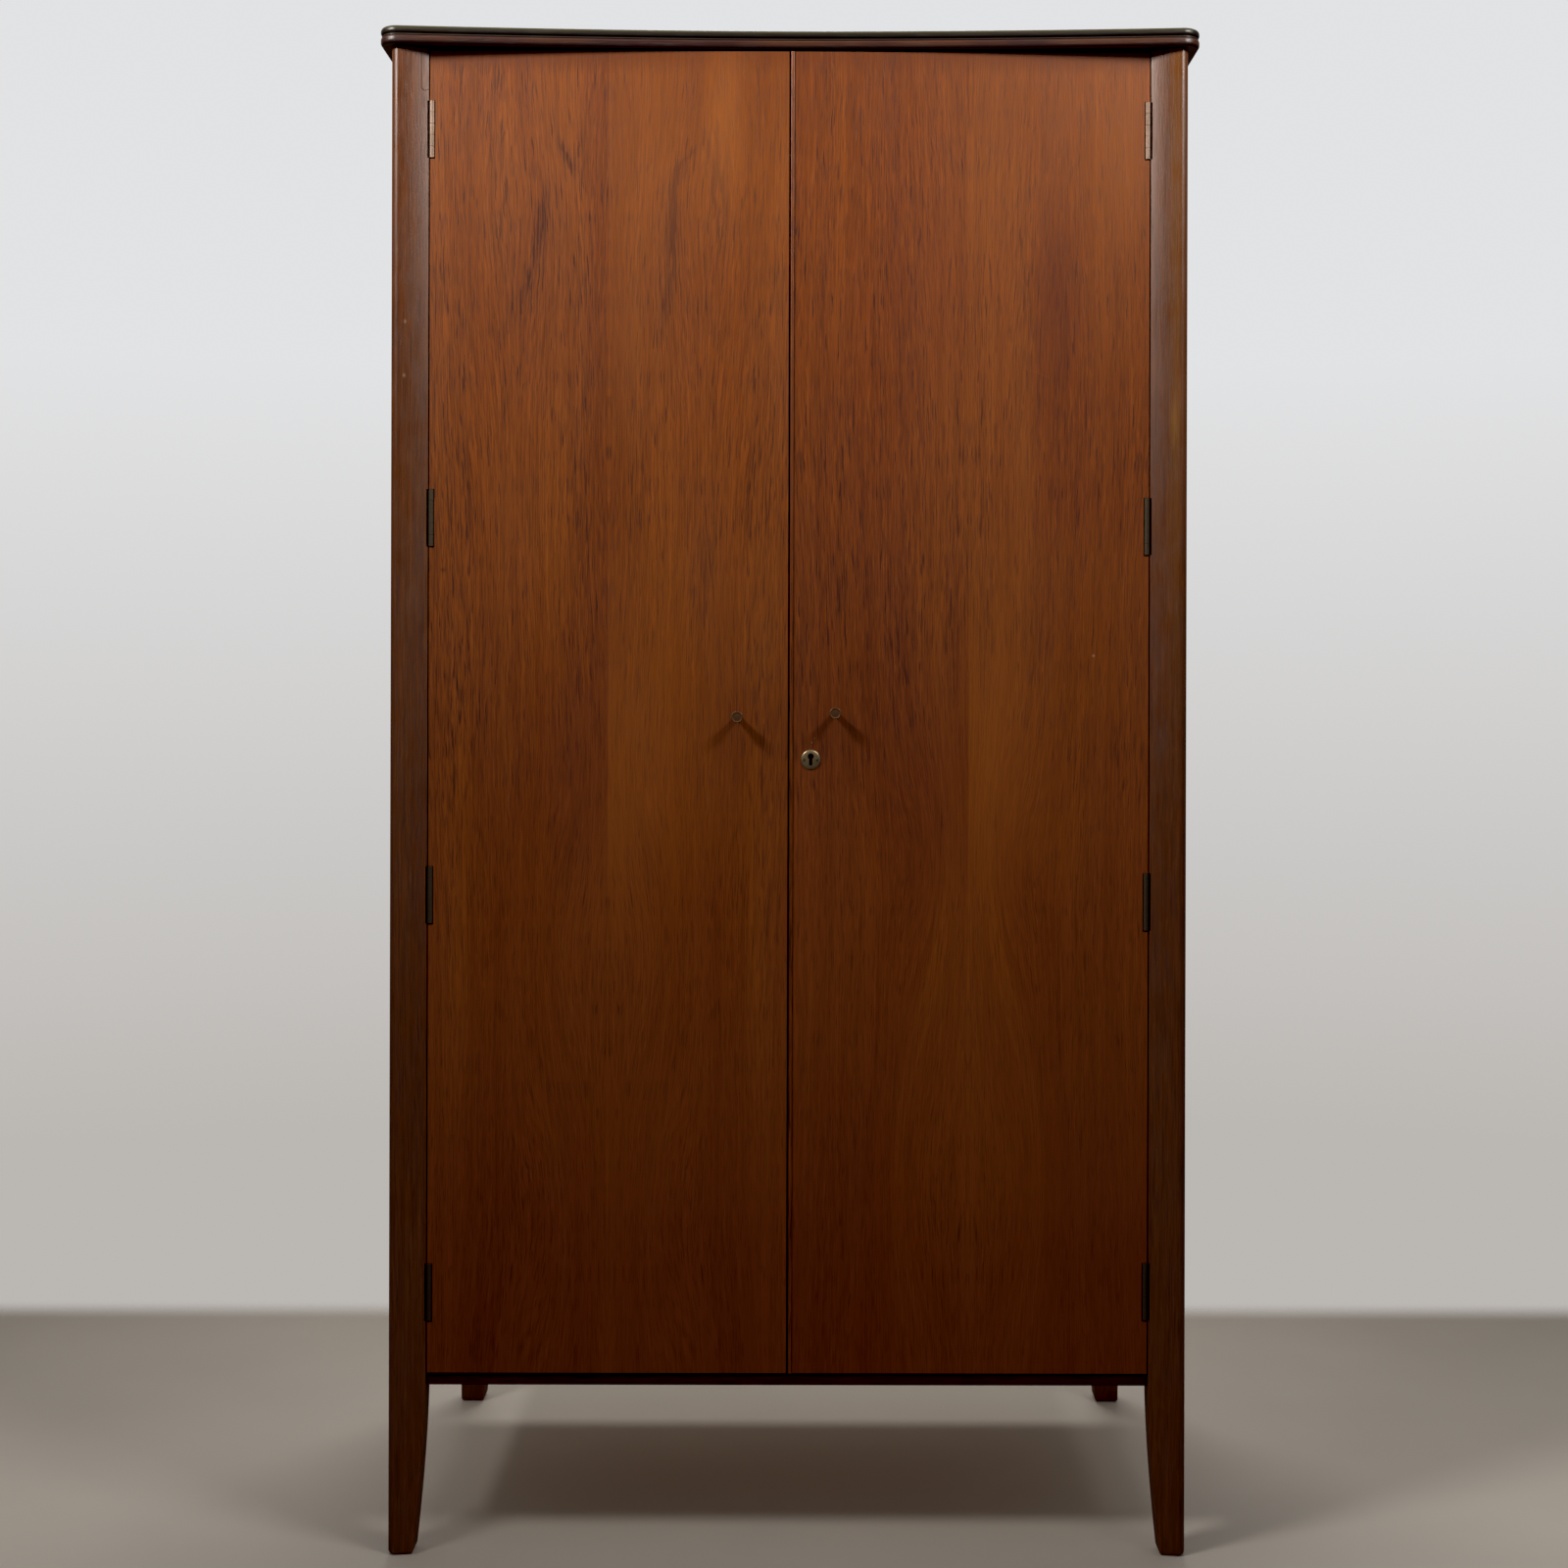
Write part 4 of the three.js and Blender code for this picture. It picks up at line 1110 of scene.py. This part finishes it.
def make_escutcheon(material, pin_material):
    low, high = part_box("escutcheon")
    radius = (high.x - low.x) / 2
    rise = high.y - low.y
    centre = back_centre("escutcheon")
    rim = 0.5 * MM
    dome = radius - 0.1 * MM
    profile = [(0, 0), (radius - 0.2 * MM, 0), (radius, 0.2 * MM), (dome, rim)]
    for i in range(1, 12):
        angle = math.radians(90 * i / 12)
        profile.append((dome * math.cos(angle), rim + (rise - rim) * math.sin(angle)))
    piece = turned_node("escutcheon", profile + [(0, rise)], centre, material, sides=72)
    cut_with(piece, [keyhole_cutter(centre)])
    ease(piece, 0.25 * MM, segments=2, angle=50)
    for name in SIDES:
        node = f"escutcheon_{name}_pin"
        turned_node(node, in_mm(PIN_PROFILE), back_centre(node), pin_material, 50, sides=20)


def make_lock(metals):
    brass = metals["brass"]
    eased_copy("lock_case", metals["steel"], 0.5 * MM)
    eased_copy("lock_bolt", brass, 0.6 * MM)
    eased_copy("strike_plate", brass, 0.3 * MM)
    low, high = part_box("lock_case")
    inset = 5 * MM
    corners = [(x, high.y - 0.1 * MM, z) for x in (low.x + inset, high.x - inset)
               for z in (low.z + inset, high.z - inset)]
    make_screws("lock_case_screws", corners, (0, 1, 0), "right_door", brass, 0.8)
    plate_low, plate_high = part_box("strike_plate")
    ends = [(plate_high.x - 0.1 * MM, (plate_low.y + plate_high.y) / 2, z)
            for z in (plate_low.z + 4.5 * MM, plate_high.z - 4.5 * MM)]
    make_screws("strike_plate_screws", ends, (1, 0, 0), "left_door", brass, 0.8)


def make_slip_bolts(metals):
    brass = metals["brass"]
    for name in ("top", "bottom"):
        case = f"{name}_slip_bolt_case"
        eased_copy(case, brass, 0.5 * MM)
        eased_copy(f"{name}_slip_bolt", brass, 0.3 * MM)
        low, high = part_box(case)
        x_middle = middle(case).x
        places = [(x_middle + sign * 8 * MM, high.y - 0.1 * MM, z)
                  for sign in (-1, 1) for z in (low.z + 7 * MM, high.z - 7 * MM)]
        make_screws(f"{case}_screws", places, (0, 1, 0), "left_door", brass, 0.7)
    for name in SIDES:
        eased_copy(f"{name}_knob_screw", metals["steel"], 0.2 * MM)


# ---- hanging rail


def make_rail(metals):
    low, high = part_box("hanging_rail")
    radius = (high.z - low.z) / 2
    centre = middle("hanging_rail")
    length = high.x - low.x
    inner = radius - 1.5 * MM
    tube = [(inner, 0), (radius - 0.3 * MM, 0), (radius, 0.3 * MM), (radius, length - 0.3 * MM),
            (radius - 0.3 * MM, length), (inner, length), (inner, 0)]
    turned_node("hanging_rail", tube, (low.x, centre.y, centre.z), metals["chrome"],
                axis="x", sides=64, sign=1)
    for name, side in SIDES.items():
        node = f"{name}_rail_socket"
        low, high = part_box(node)
        wall = high.x if side > 0 else low.x
        bore = radius + 0.3 * MM
        flange = (high.z - low.z) / 2
        cup = high.x - low.x
        profile = [(0, 0), (flange, 0), (flange, 1.4 * MM), (flange - 0.5 * MM, 2.1 * MM),
                   (flange - 1.4 * MM, 2.4 * MM), (bore + 4.5 * MM, 3 * MM), (bore + 3.2 * MM, 4 * MM),
                   (bore + 3 * MM, 5 * MM), (bore + 3 * MM, cup - 0.6 * MM), (bore + 2.4 * MM, cup),
                   (bore + 0.5 * MM, cup), (bore, cup - 0.5 * MM), (bore, 3 * MM), (0, 3 * MM)]
        turned_node(node, profile, (wall, centre.y, centre.z), metals["chrome"], 35,
                    axis="x", sides=64, sign=-side)
        ring = flange - 4.2 * MM
        places = [(wall - side * 2.6 * MM, centre.y + ring * math.cos(a), centre.z + ring * math.sin(a))
                  for a in map(math.radians, (90, 210, 330))]
        make_screws(f"{node}_screws", places, (-side, 0, 0), "carcass", metals["steel"], 0.8)


# ---- build

make_camera()
make_lights()
make_floor()
woods = wood_materials()
metals = metal_materials()
make_top(woods["top"])
for side_name, side_sign in SIDES.items():
    make_post(side_name, side_sign, True, woods["patched_post" if side_name == "left" else "golden_post"])
    make_post(side_name, side_sign, False, woods["post"])
    for hinge_number in HINGES:
        make_hinge(side_name, side_sign, hinge_number, metals)
    make_knob(side_name, metals["knob"])
make_flat_work(woods)
make_bead(woods["bead"])
make_escutcheon(metals["brass"], metals["hinge_dark"])
make_lock(metals)
make_slip_bolts(metals)
make_rail(metals)
